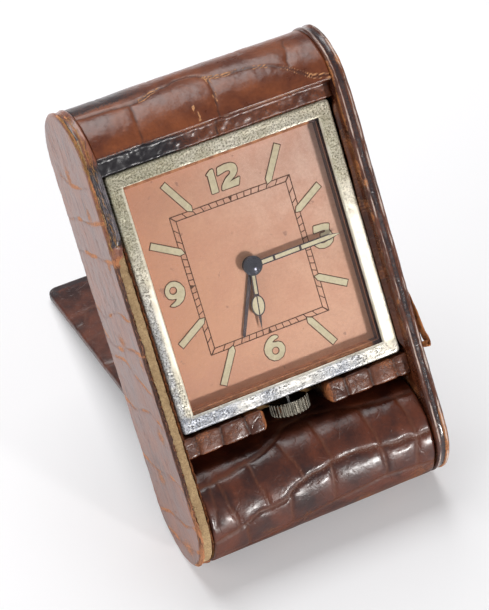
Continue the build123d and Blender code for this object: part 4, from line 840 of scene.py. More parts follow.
def evened(points: np.ndarray, step: float, soft: float = 0.0) -> np.ndarray:
    """Points at even steps along a line, with its corners rounded.

    Args:
        points: Corners of the line, one row each.
        step: Wanted distance between the points.
        soft: Length over which corners are rounded.

    Returns:
        The new points.
    """
    points = np.asarray(points, float)
    fine = 0.1 if soft else step
    for spacing, blur in ((fine, soft), (step, 0.0)):
        lengths = run_lengths(points)
        count = max(2, int(round(lengths[-1] / spacing)) + 1)
        at = np.linspace(0.0, lengths[-1], count)
        points = np.column_stack([np.interp(at, lengths, points[:, axis]) for axis in range(points.shape[1])])
        if blur:
            reach = max(1, int(round(blur / spacing)))
            padded = np.concatenate([2 * points[:1] - points[reach:0:-1], points,
                                     2 * points[-1:] - points[-2:-reach - 2:-1]])
            window = np.hanning(2 * reach + 3)[1:-1]
            window /= window.sum()
            points = np.column_stack([np.convolve(padded[:, axis], window, "valid")
                                      for axis in range(points.shape[1])])
    return points


def run_lengths(points: np.ndarray) -> np.ndarray:
    """Length along a line to each of its points."""
    return np.concatenate([[0.0], np.cumsum(np.linalg.norm(np.diff(points, axis=0), axis=1))])


def lay_on(marks: Marks, name: str, strength: np.ndarray) -> None:
    """Raise one mark to a strength wherever it is weaker."""
    marks[name] = np.maximum(marks[name], strength)


def flattened(marks: Marks) -> Marks:
    """Marks of a grid as rows, in the order of its vertices."""
    return {name: values.reshape(-1, 3) if values.ndim == 3 else values.ravel()
            for name, values in marks.items()}


def grid_faces(count: int, along: int, wrap_first: bool, wrap_second: bool) -> list[list[int]]:
    """Faces between the points of a grid.

    Args:
        count: Points along the first axis.
        along: Points along the second axis.
        wrap_first: Whether the first axis joins up with itself.
        wrap_second: Whether the second axis joins up with itself.

    Returns:
        The faces, as vertex numbers.
    """
    faces = []
    for i in range(count if wrap_first else count - 1):
        for j in range(along if wrap_second else along - 1):
            ahead, beside = (i + 1) % count, (j + 1) % along
            faces.append([i * along + j, ahead * along + j, ahead * along + beside, i * along + beside])
    return faces


def arc(centre: Point, radius: float, start: float, end: float, count: int = 24) -> list[Point]:
    """Points of a circular arc, with angles in degrees from the first axis."""
    angles = np.radians(np.linspace(start, end, count))
    return [(centre[0] + radius * math.cos(a), centre[1] + radius * math.sin(a)) for a in angles]


def face_normals(points: np.ndarray, closed: bool) -> np.ndarray:
    """Unit normals of a grid of points.

    Args:
        points: Grid of shape (across, along, 3).
        closed: Whether the first axis joins up with itself.

    Returns:
        One normal for each point.
    """
    if closed:
        across = np.roll(points, -1, axis=0) - np.roll(points, 1, axis=0)
    else:
        across = np.gradient(points, axis=0)
    along = np.gradient(points, axis=1)
    normal = np.cross(across, along)
    length = np.linalg.norm(normal, axis=-1, keepdims=True)
    good = length[..., 0] > 1e-9
    normal = np.where(good[..., None], normal / np.maximum(length, 1e-12), 0.0)
    return normal


class Forge:
    """Makes Blender meshes out of grids and outlines in the case's millimetres."""

    def __init__(self, case: CaseFrame) -> None:
        """Keep the frame in which the pieces are made."""
        self.case = case

    def piece(self, name: str, points: np.ndarray, faces: Iterable[Sequence[int]],
              material: bpy.types.Material, marks: Marks | None = None, weld: bool = False,
              smooth: bool = True) -> bpy.types.Object:
        """Make one mesh object.

        Args:
            name: Name of the piece.
            points: Vertices in millimetres, one row each.
            faces: Faces as lists of vertex numbers.
            material: Its material.
            marks: Values or vectors to store at the vertices, by name.
            weld: Whether to join vertices that fall together.
            smooth: Whether to shade it smooth.

        Returns:
            The object.
        """
        mesh = bpy.data.meshes.new(name)
        mesh.from_pydata(self.case.place(points).tolist(), [], [list(face) for face in faces])
        for mark, values in (marks or {}).items():
            values = np.asarray(values, float)
            kind = "FLOAT_VECTOR" if values.ndim == 2 else "FLOAT"
            layer = mesh.attributes.new(mark, kind, "POINT")
            layer.data.foreach_set("vector" if values.ndim == 2 else "value", values.ravel())
        if weld:
            work = bmesh.new()
            work.from_mesh(mesh)
            bmesh.ops.remove_doubles(work, verts=work.verts, dist=2e-6)
            bmesh.ops.dissolve_degenerate(work, edges=work.edges, dist=1e-6)
            bmesh.ops.recalc_face_normals(work, faces=work.faces)
            work.to_mesh(mesh)
            work.free()
        mesh.validate()
        mesh.materials.append(material)
        mesh.polygons.foreach_set("use_smooth", [smooth] * len(mesh.polygons))
        item = bpy.data.objects.new(name, mesh)
        bpy.context.collection.objects.link(item)
        return item

    def shell(self, name: str, points: np.ndarray, thickness: float, material: bpy.types.Material,
              marks: Marks | None = None, closed: bool = False, flip: bool = False,
              weld: bool = False) -> bpy.types.Object:
        """Make a closed skin of even thickness behind a grid of outside points.

        Args:
            name: Name of the piece.
            points: Outside points, of shape (across, along, 3).
            thickness: Thickness of the skin.
            material: Its material.
            marks: Grids of values or vectors to store, by name.
            closed: Whether the first axis joins up with itself.
            flip: Whether the outside is on the other side of the grid.
            weld: Whether to join vertices that fall together.

        Returns:
            The object.
        """
        across, along = points.shape[:2]
        normal = face_normals(points, closed) * (-1.0 if flip else 1.0)
        inner = points - normal * thickness
        stacked = np.concatenate([points.reshape(-1, 3), inner.reshape(-1, 3)])
        shift = across * along
        ring = across if closed else across - 1
        faces = []
        for i in range(ring):
            ahead = (i + 1) % across
            for j in range(along - 1):
                quad = [i * along + j, ahead * along + j, ahead * along + j + 1, i * along + j + 1]
                back = [shift + corner for corner in quad][::-1]
                faces.append(quad[::-1] if flip else quad)
                faces.append(back[::-1] if flip else back)
        border = [([(i * along + j, ((i + 1) % across) * along + j) for i in range(ring)], j == 0)
                  for j in (0, along - 1)]
        if not closed:
            border += [([(i * along + j, i * along + j + 1) for j in range(along - 1)], i != 0)
                       for i in (0, across - 1)]
        for edges, turn in border:
            for a, b in edges:
                quad = [b, a, shift + a, shift + b] if turn else [a, b, shift + b, shift + a]
                faces.append(quad[::-1] if flip else quad)
        stored = {mark: np.concatenate([rows, rows]) for mark, rows in flattened(marks or {}).items()}
        return self.piece(name, stacked, faces, material, stored, weld)

    def slab(self, name: str, outline: Sequence[Point], low: float, high: float,
             material: bpy.types.Material, holes: Sequence[Sequence[Point]] = ()) -> bpy.types.Object:
        """Make a flat plate from an outline seen from the front.

        Args:
            name: Name of the piece.
            outline: Corners in x and y.
            low: Depth of its back.
            high: Depth of its front.
            material: Its material.
            holes: Outlines of holes.

        Returns:
            The object.
        """
        work = bmesh.new()
        edges = []
        for loop in [outline, *holes]:
            corners = [work.verts.new((x, y, low)) for x, y in loop]
            edges += [work.edges.new((a, b)) for a, b in zip(corners, corners[1:] + corners[:1])]
        bmesh.ops.triangle_fill(work, use_beauty=True, use_dissolve=True, edges=edges)
        raised = bmesh.ops.extrude_face_region(work, geom=list(work.faces))
        lifted = [part for part in raised["geom"] if isinstance(part, bmesh.types.BMVert)]
        bmesh.ops.translate(work, verts=lifted, vec=(0.0, 0.0, high - low))
        bmesh.ops.recalc_face_normals(work, faces=work.faces)
        work.verts.index_update()
        points = np.array([vertex.co[:] for vertex in work.verts])
        faces = [[vertex.index for vertex in face.verts] for face in work.faces]
        work.free()
        return self.piece(name, points, faces, material, smooth=False)

    def join(self, name: str, parts: Sequence[bpy.types.Object]) -> bpy.types.Object:
        """Join several new pieces into one.

        Args:
            name: Name of the new piece.
            parts: Pieces to join.

        Returns:
            The object.
        """
        first = parts[0]
        work = bmesh.new()
        materials = []
        for part in parts:
            before = len(work.faces)
            work.from_mesh(part.data)
            work.faces.ensure_lookup_table()
            if part.data.materials[0] not in materials:
                materials.append(part.data.materials[0])
            index = materials.index(part.data.materials[0])
            for face in work.faces[before:]:
                face.material_index = index
        work.to_mesh(first.data)
        work.free()
        first.data.materials.clear()
        for material in materials:
            first.data.materials.append(material)
        for part in parts[1:]:
            bpy.data.objects.remove(part)
        first.name = name
        first.data.name = name
        return first


# Crocodile scales


@dataclass(frozen=True)
class Seam:
    """A groove between scales, drawn on the unrolled leather in millimetres."""

    line: tuple[Point, ...]
    depth: float = 0.3
    width: float = 0.34
    rub: float = 0.0
    scuff_and_glint: float = 0.0
    halo: float = 0.0


def brick_seams(rows: Sequence[float], start: float, end: float, pitch: float, seed: int,
                rows_along_first: bool = True, depth: float = 0.32) -> list[Seam]:
    """Rows of scales with staggered joints, each a little uneven.

    Args:
        rows: Places of the long grooves.
        start: Where the rows start.
        end: Where the rows end.
        pitch: Usual length of a scale.
        seed: Chooses the unevenness.
        rows_along_first: Whether rows run along the first coordinate.
        depth: Depth of the grooves.

    Returns:
        The seams.
    """
    pick = np.random.default_rng(seed)
    seams: list[Seam] = []

    def order(line: list[Point]) -> tuple[Point, ...]:
        """Put the coordinates in the wanted order."""
        return tuple((a, b) if rows_along_first else (b, a) for a, b in line)

    for row in rows:
        places = np.arange(start, end + pitch / 2, pitch / 2)
        seams.append(Seam(order([(float(a), row + float(pick.normal(0.0, 0.35))) for a in places]), depth))
    for low, high in zip(rows, list(rows)[1:]):
        at = start + pitch * float(pick.uniform(0.2, 0.9))
        while at < end:
            lean = float(pick.normal(0.0, 0.6))
            middle = (low + high) / 2
            seams.append(Seam(order([(at - lean, low), (at + float(pick.normal(0, 0.4)), middle),
                                     (at + lean, high)]), depth * float(pick.uniform(0.6, 1.1))))
            at += pitch * float(pick.uniform(0.7, 1.35))
    return seams


@dataclass
class ScalePattern:
    """The scales of one piece of leather and the relief that they give it."""

    seams: list[Seam]
    crown: float = 0.16
    spread: float = 1.9
    seed: int = 3

    def measure(self, u: np.ndarray, v: np.ndarray) -> tuple[np.ndarray, Marks]:
        """Work out the relief and the marks at unrolled places.

        Args:
            u: First coordinates, in millimetres.
            v: Second coordinates, in millimetres.

        Returns:
            The height of the surface and its marks.
        """
        flat = np.stack([u, v], axis=-1)
        u = u + 0.22 * lattice_noise(flat, 2.6, self.seed) + 0.1 * lattice_noise(flat, 0.9, self.seed + 1)
        v = v + 0.22 * lattice_noise(flat, 2.6, self.seed + 2) + 0.1 * lattice_noise(flat, 0.9, self.seed + 3)
        height = np.zeros_like(u)
        groove = np.zeros_like(u)
        rub = np.zeros_like(u)
        scuff_and_glint = np.zeros_like(u)
        nearest = np.full_like(u, 99.0)
        for seam in self.seams:
            away = np.full_like(u, 99.0)
            for (ax, ay), (bx, by) in zip(seam.line, seam.line[1:]):
                dx, dy = bx - ax, by - ay
                share = ((u - ax) * dx + (v - ay) * dy) / max(dx * dx + dy * dy, 1e-9)
                share = np.clip(share, 0.0, 1.0)
                away = np.minimum(away, np.hypot(u - ax - share * dx, v - ay - share * dy))
            cut = np.exp(-(away / seam.width) ** 2)
            height = np.minimum(height, -seam.depth * cut)
            dark = np.exp(-(away / (0.8 * seam.width)) ** 2) * min(1.0, seam.depth / 0.3)
            groove = np.maximum(groove, dark)
            lip = np.exp(-((away - 1.3 * seam.width) / (0.8 * seam.width)) ** 2)
            lip *= 0.85 + 0.5 * lattice_noise(flat, 2.6, 73)
            if seam.halo:
                lip = np.exp(-(away / seam.halo) ** 2) * (0.85 + 0.45 * lattice_noise(flat, 3.2, 71))
            rub = np.maximum(rub, seam.rub * lip)
            scuff_and_glint = np.maximum(scuff_and_glint, seam.scuff_and_glint * np.exp(-(away / 2.0) ** 2))
            if seam.depth > 0.15:
                nearest = np.minimum(nearest, away)
        height += self.crown * (1.0 - np.exp(-(nearest / self.spread) ** 2)) - self.crown
        height += 0.03 * rough_noise(flat, 1.6, self.seed + 5)
        marks = {"groove": groove, "rub": rub, "scuff_and_glint": scuff_and_glint, "stain_and_shade": np.zeros_like(u),
                 "flat": np.stack([flat[..., 0], flat[..., 1], np.zeros_like(u)], axis=-1)}
        return height, marks


def spot(u: np.ndarray, v: np.ndarray, at: Point, size: Point, strength: float = 1.0) -> np.ndarray:
    """A soft round patch on unrolled leather."""
    return strength * np.exp(-((u - at[0]) / size[0]) ** 2 - ((v - at[1]) / size[1]) ** 2)


def ramp(value: np.ndarray, low: float, high: float) -> np.ndarray:
    """A smooth step from 0 at low to 1 at high."""
    share = np.clip((value - low) / (high - low), 0.0, 1.0)
    return share * share * (3.0 - 2.0 * share)


# The leather case


@dataclass
class TopRoll:
    """Leather over the top roll and down the flat back, in one piece."""

    sizes: CaseSizes
    forge: Forge
    finishes: Finishes
    step: float = 0.42
    thickness: float = 0.55
    end_gap: float = 0.04
    roll_drop: float = 0.4
    step_run: float = 0.8
    crease_rise: float = 4.1

    def path(self) -> np.ndarray:
        """Outside of the roll from its foot over the top and down the back, in y and z.

        Returns:
            The line's points.
        """
        s = self.sizes
        radius = s.flange_radius - self.roll_drop
        middle = (s.flange_top, -self.roll_drop)
        crease = s.foot_y + self.crease_rise
        start = math.degrees(math.acos((crease - middle[0]) / radius))
        line = [(s.bezel_half[1] + 0.1, s.rebate_z), (crease - self.step_run, s.rebate_z)]
        line += arc(middle, radius, start, -90.0, 60)
        line += [(s.back_low_y + 0.2, middle[1] - radius)]
        return evened(np.array(line), self.step, 0.45)

    def seams(self) -> list[Seam]:
        """Grooves of the roll, in x and in length from the middle of its front.

        Returns:
            The seams.
        """
        seen = [
            Seam(((-30.5, 15.0), (-27.2, 14.5), (-21.7, 14.3), (-17.0, 13.7), (-14.4, 13.9)),
                 0.24, 0.36, 0.2),
            Seam(((-14.4, 13.9), (-11.1, 15.2), (-7.1, 15.8), (-3.9, 17.0), (-1.4, 17.0), (0.9, 16.2),
                  (2.4, 13.9)), 0.24, 0.34, 0.74),
            Seam(((2.4, 13.9), (6.3, 13.0), (10.6, 12.3), (13.3, 12.3), (17.7, 10.7), (20.7, 8.9),
                  (23.4, 6.6), (26.2, 4.4), (30.5, 3.4)), 0.22, 0.34, 0.78),
            Seam(((-17.0, 13.7), (-17.2, 10.9), (-17.9, 7.7), (-18.2, 4.9), (-19.0, 1.5), (-19.2, -4.0)),
                 0.22, 0.28, 0.22),
            Seam(((2.5, 13.4), (2.3, 9.5), (1.7, 6.0), (1.2, 3.7), (0.9, 0.8), (0.4, -4.0)), 0.26, 0.28, 0.6),
            Seam(((24.7, 18.2), (23.6, 15.4), (23.4, 13.0), (22.0, 10.5), (21.9, 8.9)), 0.2, 0.26, 0.1),
            Seam(((-4.0, 7.1), (-3.9, 5.5), (-3.6, 3.6)), 0.06, 0.22, 0.95),
            Seam(((-9.6, 18.6), (-9.2, 21.0), (-9.0, 26.0)), 0.12),
            Seam(((13.6, 18.4), (14.0, 20.0), (13.0, 26.0)), 0.12),
            Seam(((-22.0, 18.6), (-22.6, 21.0), (-22.0, 26.0)), 0.12),
        ]
        rows = (26.0, 36.5, 47.0, 57.0, 67.0, 77.5, 88.0, 99.0, 112.0)
        return seen + brick_seams(rows, -31.0, 31.0, 13.0, 11)

    def build(self) -> bpy.types.Object:
        """Make the piece and let it stand for the roll's and the back's leather.

        Returns:
            The object.
        """
        s = self.sizes
        path = self.path()
        half = s.inner_x - self.end_gap
        across = np.linspace(-half, half, int(2 * half / self.step) + 1)
        lengths = run_lengths(path)
        radius = s.flange_radius - self.roll_drop
        front = int(np.argmin(np.abs(path[:, 0] - (s.foot_y + self.crease_rise))
                              + np.abs(path[:, 1] - radius)))
        along = lengths - lengths[front] + radius * math.asin((path[front, 0] - s.flange_top) / radius)
        u, v = np.meshgrid(across, along, indexing="ij")
        height, marks = ScalePattern(self.seams(), seed=5).measure(u, v)
        points = np.empty(u.shape + (3,))
        points[..., 0] = u
        points[..., 1] = path[None, :, 0]
        points[..., 2] = path[None, :, 1]
        flat = np.stack([u, v], axis=-1)
        sag = ramp(v, 2.6, 6.0) * (1.0 - ramp(v, 30.0, 44.0))
        height += 0.16 * sag * rough_noise(flat, 13.0, 31, 2)
        crease = np.exp(-((v - 2.2 - 0.25 * lattice_noise(flat, 5.0, 9)) / 0.4) ** 2)
        worn = ramp(u, -18.0, -10.0) * (0.5 + 0.35 * lattice_noise(flat, 3.0, 4) + 0.15 * ramp(u, 0.0, 12.0))
        lay_on(marks, "rub", crease * worn)
        lay_on(marks, "scuff_and_glint", crease * ramp(u, 2.0, 10.0))
        # Painted shade: the stain mark darkens the strip under the crease and the roll towards its lower
        # edge, more on the left. Above the seam on the left the roll is also made darker.
        strip = 1.0 - ramp(v, 0.4, 2.4)
        lower = np.exp(-(np.maximum(v - 1.2, 0.0) / 2.2) ** 2)
        marks["stain_and_shade"] = strip * (0.9 - 0.6 * ramp(u, -16.0, -2.0))
        lay_on(marks, "stain_and_shade", 0.6 * lower * (1.0 - ramp(u, -20.0, -4.0)) + 0.42 * lower)
        marks["stain_and_shade"] += (0.7 * ramp(v, 14.6, 17.0) * (1.0 - ramp(u, -20.0, -2.0))
                           * (1.0 - ramp(v, 24.0, 30.0)))
        lay_on(marks, "scuff_and_glint", 0.35 * strip)
        height += strip * 0.14 * rough_noise(flat, 1.1, 77)
        points += face_normals(points, False) * self.side(points) * height[..., None]
        leather = self.forge.shell("top_roll_and_back_leather", points, self.thickness, self.finishes.roll,
                                   marks, flip=self.side(points) < 0)
        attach(leather, "case")
        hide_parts("top_roll_leather", "back_leather")
        return leather

    def side(self, points: np.ndarray) -> float:
        """1 if the grid's normals point out of the roll, and -1 if they point into it.

        Args:
            points: The grid.

        Returns:
            1 or -1.
        """
        normal = face_normals(points, False)
        middle = normal[points.shape[0] // 2]
        outward = points[points.shape[0] // 2] - np.array([0.0, self.sizes.flange_top - 10.0, 0.0])
        return 1.0 if float(np.sum(middle[:, 1:] * outward[:, 1:])) > 0 else -1.0


@dataclass
class Stadium:
    """Loop round a side flange: two straights joined by two half circles."""

    top: float
    bottom: float
    radius: float
    step: float = 0.5

    def loop(self) -> tuple[np.ndarray, np.ndarray, np.ndarray]:
        """Points round the flange.

        Returns:
            For each point its centre height, its direction in y and z, and the length to it
            from the lower end of the front.
        """
        straight = max(2, int((self.top - self.bottom) / self.step))
        bend = max(4, int(math.pi * self.radius / self.step))
        climb = np.linspace(self.bottom, self.top, straight, endpoint=False)
        turn = np.linspace(0.0, math.pi, bend, endpoint=False)
        fall = np.linspace(self.top, self.bottom, straight, endpoint=False)
        centre = np.concatenate([climb, np.full(bend, self.top), fall, np.full(bend, self.bottom)])
        ahead = np.concatenate([np.zeros(straight), np.sin(turn), np.zeros(straight), -np.sin(turn)])
        out = np.concatenate([np.ones(straight), np.cos(turn), -np.ones(straight), -np.cos(turn)])
        width = self.top - self.bottom
        arc_length = math.pi * self.radius
        length = np.concatenate([climb - self.bottom, width + turn * self.radius,
                                 width + arc_length + (self.top - fall),
                                 2 * width + arc_length + turn * self.radius])
        return centre, np.stack([ahead, out], axis=-1), length


@dataclass
class Flange:
    """Leather cheek and rim on one side of the case."""

    sizes: CaseSizes
    forge: Forge
    finishes: Finishes
    side: int
    face_step: float = 0.6
    rim_step: float = 0.24
    ridge: float = 0.42
    inner_depth: float = 12.4
    rag: float = 1.48

    def rim_length(self) -> float:
        """Length of the rim's section."""
        return float(np.sum(np.linalg.norm(np.diff(self.rim_profile(), axis=0), axis=1)))

    def rim_profile(self) -> np.ndarray:
        """Section of the rim from the cheek to the inner face, as x and radius.

        Returns:
            The section's points.
        """
        s = self.sizes
        big, outer, inner = s.flange_radius, s.outer_x, s.inner_x
        middle = (outer + inner) / 2
        line = [(outer, big - 1.1), (outer, big - 0.5), (outer - 0.42, big), (outer - 0.75, big - 0.04),
                (middle + 0.5, big - self.ridge), (middle - 0.45, big - self.ridge * 0.85),
                (inner + 0.62, big - 0.02), (inner + 0.3, big - 0.06), (inner, big - 0.45),
                (inner, big - self.inner_depth)]
        return evened(np.array(line), self.rim_step, 0.28)

    def cheek_seams(self) -> list[Seam]:
        """Grooves of the cheek, in y and z of the case.

        Returns:
            The seams.
        """
        if self.side > 0:
            rows = tuple(float(y) for y in np.arange(-66.0, 50.0, 10.5))
            return brick_seams(rows, -15.0, 15.0, 9.5, 23, rows_along_first=False, depth=0.24)
        orange = [
            ((32.9, -9.0), (30.9, -1.0), (30.7, 8.6), (31.5, 14.0)),
            ((21.5, -14.5), (22.5, -4.0), (22.0, 5.0), (23.0, 15.0)),
            ((13.7, -14.2), (13.6, -0.1), (13.0, 7.0), (13.6, 14.3)),
            ((0.2, -14.5), (-3.2, -8.9), (0.2, 4.8), (-1.5, 10.9), (-1.0, 15.0)),
            ((-6.5, -13.8), (-10.2, -9.4), (-10.5, -2.4), (-9.0, 6.0), (-10.0, 15.0)),
            ((-13.5, -14.5), (-13.1, -2.6), (-16.1, 2.3), (-19.3, 9.2), (-20.0, 15.0)),
            ((-24.1, -14.7), (-26.3, -7.4), (-25.3, 5.1), (-27.4, 10.7), (-30.0, 15.0)),
            ((-38.8, -15.3), (-40.8, -9.3), (-42.0, -5.0), (-41.5, 5.3), (-43.1, 11.2), (-45.5, 15.0)),
            ((-54.0, -15.0), (-53.0, -5.0), (-54.5, 5.0), (-53.5, 14.0)),
            ((-58.5, -10.8), (-60.9, -0.9), (-61.1, 6.3), (-60.0, 12.0)),
        ]
        seams = [Seam(tuple(line), 0.12, 0.3, 0.7, halo=0.85) for line in orange]
        pick = np.random.default_rng(8)
        for _ in range(34):
            y, z = float(pick.uniform(-58.0, 40.0)), float(pick.uniform(-12.0, 12.5))
            reach = float(pick.uniform(8.0, 26.0))
            tilt = float(pick.normal(0.0, 0.035))
            seams.append(Seam(((y, z), (y + reach / 2, z + tilt * reach + float(pick.normal(0, 0.15))),
                               (y + reach, z + 2 * tilt * reach)), 0.08, 0.15))
        return seams

    def torn_from(self, length: np.ndarray, centre: np.ndarray, out: np.ndarray) -> np.ndarray:
        """Share of the rim that still has its leather, at each point of the loop.

        Args:
            length: Length round the flange to each point.
            centre: Height of each point's centre.
            out: How far each point's direction faces the front.

        Returns:
            The share, from 0 to 1.
        """
        if self.side > 0:
            return np.ones_like(length)
        y = centre
        front = (out > 0.35).astype(float)
        place = length[:, None].repeat(2, 1)
        uneven = y + 0.7 * lattice_noise(place, 0.8, 5)
        hidden = (1.0 - ramp(uneven, 16.2, 18.0)) * front
        torn = (1.0 - ramp(uneven, 10.6, 16.2)) * front
        rag = self.rag + 0.3 * lattice_noise(place, 3.1, 6) + 0.2 * lattice_noise(place, 0.9, 7)
        rag = np.clip(rag + 0.16 * lattice_noise(place, 0.35, 8), 1.0, 2.4)
        whole = self.rim_length()
        face = whole - self.inner_depth
        return 1.0 - (hidden * (whole - face) + torn * (face - rag)) / whole

    def build(self) -> bpy.types.Object:
        """Make the cheek with its rim.

        Returns:
            The object.
        """
        s = self.sizes
        name = "right" if self.side > 0 else "left"
        centre, way, length = Stadium(s.flange_top, s.flange_bottom, s.flange_radius).loop()
        profile = self.rim_profile()
        face = np.arange(0.0, profile[0, 1] - 0.2, self.face_step)
        rim_length = run_lengths(profile)
        share = self.torn_from(length, centre, way[:, 1])
        count, rows = len(centre), len(face) + len(profile)
        x = np.empty((count, rows))
        radius = np.empty((count, rows))
        x[:, :len(face)] = s.outer_x
        radius[:, :len(face)] = face
        for j, at in enumerate(rim_length):
            where = at * share
            x[:, len(face) + j] = np.interp(where, rim_length, profile[:, 0])
            radius[:, len(face) + j] = np.interp(where, rim_length, profile[:, 1])
        pad = s.inner_x - s.bezel_half[0] - 0.1
        above = radius - s.bezel_front + 0.1
        soft = np.exp(-(above / np.where(above > 0.0, 0.42, 1.5)) ** 2) * (x < s.inner_x + 0.02)
        soft *= (way[:, 1] > 0.9)[:, None] * ramp(centre, -33.0, -29.0)[:, None]
        soft *= (1.0 - ramp(centre, 29.0, 31.6))[:, None]
        soft *= 1.0 if self.side > 0 else ramp(centre, 14.0, 18.0)[:, None]
        x -= pad * soft * (1.0 - 0.32 * ramp(centre, 4.0, 14.0)[:, None])
        points = np.stack([self.side * x, centre[:, None] + radius * way[:, None, 0],
                           radius * way[:, None, 1]], axis=-1)
        y = centre[:, None] + np.minimum(radius, s.flange_radius) * way[:, None, 0]
        z = np.minimum(radius, s.flange_radius) * way[:, None, 1]
        past = np.concatenate([np.zeros(len(face)), rim_length])[None, :] * np.ones((count, 1))
        edge_y = centre[:, None] + s.flange_radius * way[:, None, 0] + 0 * past
        edge_z = s.flange_radius * way[:, None, 1] + 0 * past
        on_rim = past > 0
        u = np.where(on_rim, edge_y, y)
        v = np.where(on_rim, edge_z, z)
        pattern = ScalePattern(self.cheek_seams(), crown=0.1 if self.side < 0 else 0.16, seed=17 + self.side)
        height, marks = pattern.measure(u, v)
        loop = np.stack([length[:, None] + 0 * past, past], axis=-1)
        marks["flat"] = np.where(on_rim[..., None],
                                 np.stack([v + past, u + 0.3 * way[:, None, 0] * past, 0 * u], axis=-1),
                                 np.stack([v, u, 0 * u], axis=-1))
        fade = np.where(on_rim, 1.0 - 0.8 * ramp(past, 0.2, 1.6), 1.0)
        calm = 0.1 if self.side > 0 else 0.35
        height *= np.where(on_rim, calm * (1.0 - ramp(past, 0.2, 1.6)),
                           1.0 - (1.0 - calm) * ramp(radius, s.flange_radius - 3.0, s.flange_radius - 1.2))
        marks["groove"] *= fade
        marks["rub"] *= np.where(on_rim, 0.7 + 0.3 * fade, 1.0)
        height += self.wear(marks, loop, u, v, on_rim, way)
        height += 0.06 * rough_noise(loop * np.array([0.3, 1.0]), 0.9, 44) * on_rim
        height += 0.07 * rough_noise(np.stack([u, v], axis=-1), 14.0, 12, 2)
        outward = face_normals(points, True)
        sign = np.sign(np.sum(outward[:, 3, 0])) * self.side
        inside = past > rim_length[-1] - self.inner_depth - 0.3
        height = np.where(inside, np.minimum(height, 0.0), height)
        points = points + outward * sign * height[..., None]
        beside = (points[..., 2] > s.bezel_front + 0.35) & (points[..., 2] < s.drum_radius + 0.3)
        clear = np.maximum(np.abs(points[..., 0]), s.cover_half + 0.08)
        points[..., 0] = np.where(beside, self.side * clear, points[..., 0])
        leather = self.forge.shell(f"{name}_flange_leather", points, 0.5,
                                   self.finishes.rim if self.side > 0 else self.finishes.cheek,
                                   marks, closed=True, flip=sign < 0, weld=True)
        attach(leather, "case")
        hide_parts(f"flange_leather_{name}", f"flange_lining_{name}")
        return leather

    def wear(self, marks: Marks, loop: np.ndarray, u: np.ndarray, v: np.ndarray,
             on_rim: np.ndarray, way: np.ndarray) -> np.ndarray:
        """Add rubbed and stained places to the marks, with painted shade and glints on the right rim; the
        left rim's dark torn band is partly painted shade.

        Args:
            marks: The marks, which are changed.
            loop: Length round the flange and over its rim.
            u: Heights on the cheek.
            v: Depths on the cheek.
            on_rim: Whether each point is on the rim.
            way: Direction of each point from the flange's centre line.

        Returns:
            Further relief of the rim.
        """
        front = way[:, None, 1] > 0.2
        past = loop[..., 1]
        if self.side > 0:
            worn = ((38.5, 4.8, 2.4, 0.9), (35.0, 4.9, 1.6, 0.8), (29.0, 5.1, 3.0, 0.95),
                    (25.5, 5.0, 1.8, 0.95), (14.5, 5.0, 3.0, 0.9), (10.5, 3.7, 1.2, 0.8),
                    (2.0, 4.8, 1.5, 0.7), (-19.0, 4.6, 1.4, 0.65), (-27.0, 2.6, 1.2, 0.6),
                    (42.0, 1.3, 4.0, 0.85))
            for y, run, size, strength in worn:
                near = spot(u, past, (y, run), (1.6 * size, 0.9), strength) * on_rim * front
                lay_on(marks, "rub", near * (0.85 + 0.4 * rough_noise(loop, 1.6, 37, 2)))
            # Painted shade: the stain mark darkens the channel between the right rim's two ridges.
            valley_shade = ramp(past, 1.7, 2.1) * (1.0 - ramp(past, 3.1, 3.5)) * front * on_rim
            lay_on(marks, "stain_and_shade", 0.66 * valley_shade)
            foot = on_rim * np.exp(-((past - 1.7) / 0.8) ** 2) * (1.0 - ramp(u, -52.0, -42.0))
            lay_on(marks, "rub", 0.85 * foot)
            # Painted glints: thin pale lines along the crests of the right rim's two ridges, broken up by
            # noise.
            ridge_glints = np.exp(-((past - 1.5) / 0.24) ** 2) + np.exp(-((past - 3.6) / 0.28) ** 2)
            broken = 0.7 + 0.45 * lattice_noise(loop * np.array([1.0, 0.0]), 4.0, 33)
            lay_on(marks, "scuff_and_glint", 1.75 * ridge_glints * front * on_rim * broken)
            lay_on(marks, "rub", on_rim * (past > 4.4) * (0.38 + 0.14 * lattice_noise(loop, 3.0, 35)))
            return np.zeros_like(u)
        upper = front * ramp(u, 14.0, 18.0)
        lay_on(marks, "stain_and_shade", on_rim * front * 0.85 * ramp(u, 15.8, 17.2)
               * (1.0 - ramp(u, 34.0, 40.0)) * ramp(past, 1.5, 2.2))
        streaks = on_rim * front * ramp(u, 15.5, 18.0) * (1.0 - ramp(u, 33.0, 38.0)) * ramp(past, 1.8, 2.4)
        lay_on(marks, "scuff_and_glint", 0.85 * streaks)
        ridges = 0.17 * streaks * rough_noise(loop * np.array([0.1, 1.0]), 0.6, 19)
        end = on_rim * front * np.exp(-((u - 13.2) / 1.6) ** 2) * ramp(past, 1.2, 1.8)
        lay_on(marks, "rub", (0.8 + 0.3 * rough_noise(loop, 0.8, 29, 2)) * end)
        marks["stain_and_shade"] *= 1.0 - end
        bend = 0.25 * lattice_noise(loop * np.array([1.0, 0.0]), 3.0, 15)
        slit = np.exp(-((past - 2.0 - bend) / 0.26) ** 2) * on_rim * upper
        edges = np.exp(-((past - 1.25 - bend) / 0.34) ** 2) + np.exp(-((past - 2.75 - bend) / 0.24) ** 2)
        chips = 0.75 + 0.35 * rough_noise(loop, 1.4, 27, 2)
        lay_on(marks, "rub", chips * edges * on_rim * upper * ramp(u, 18.0, 26.0))
        lay_on(marks, "stain_and_shade", slit)
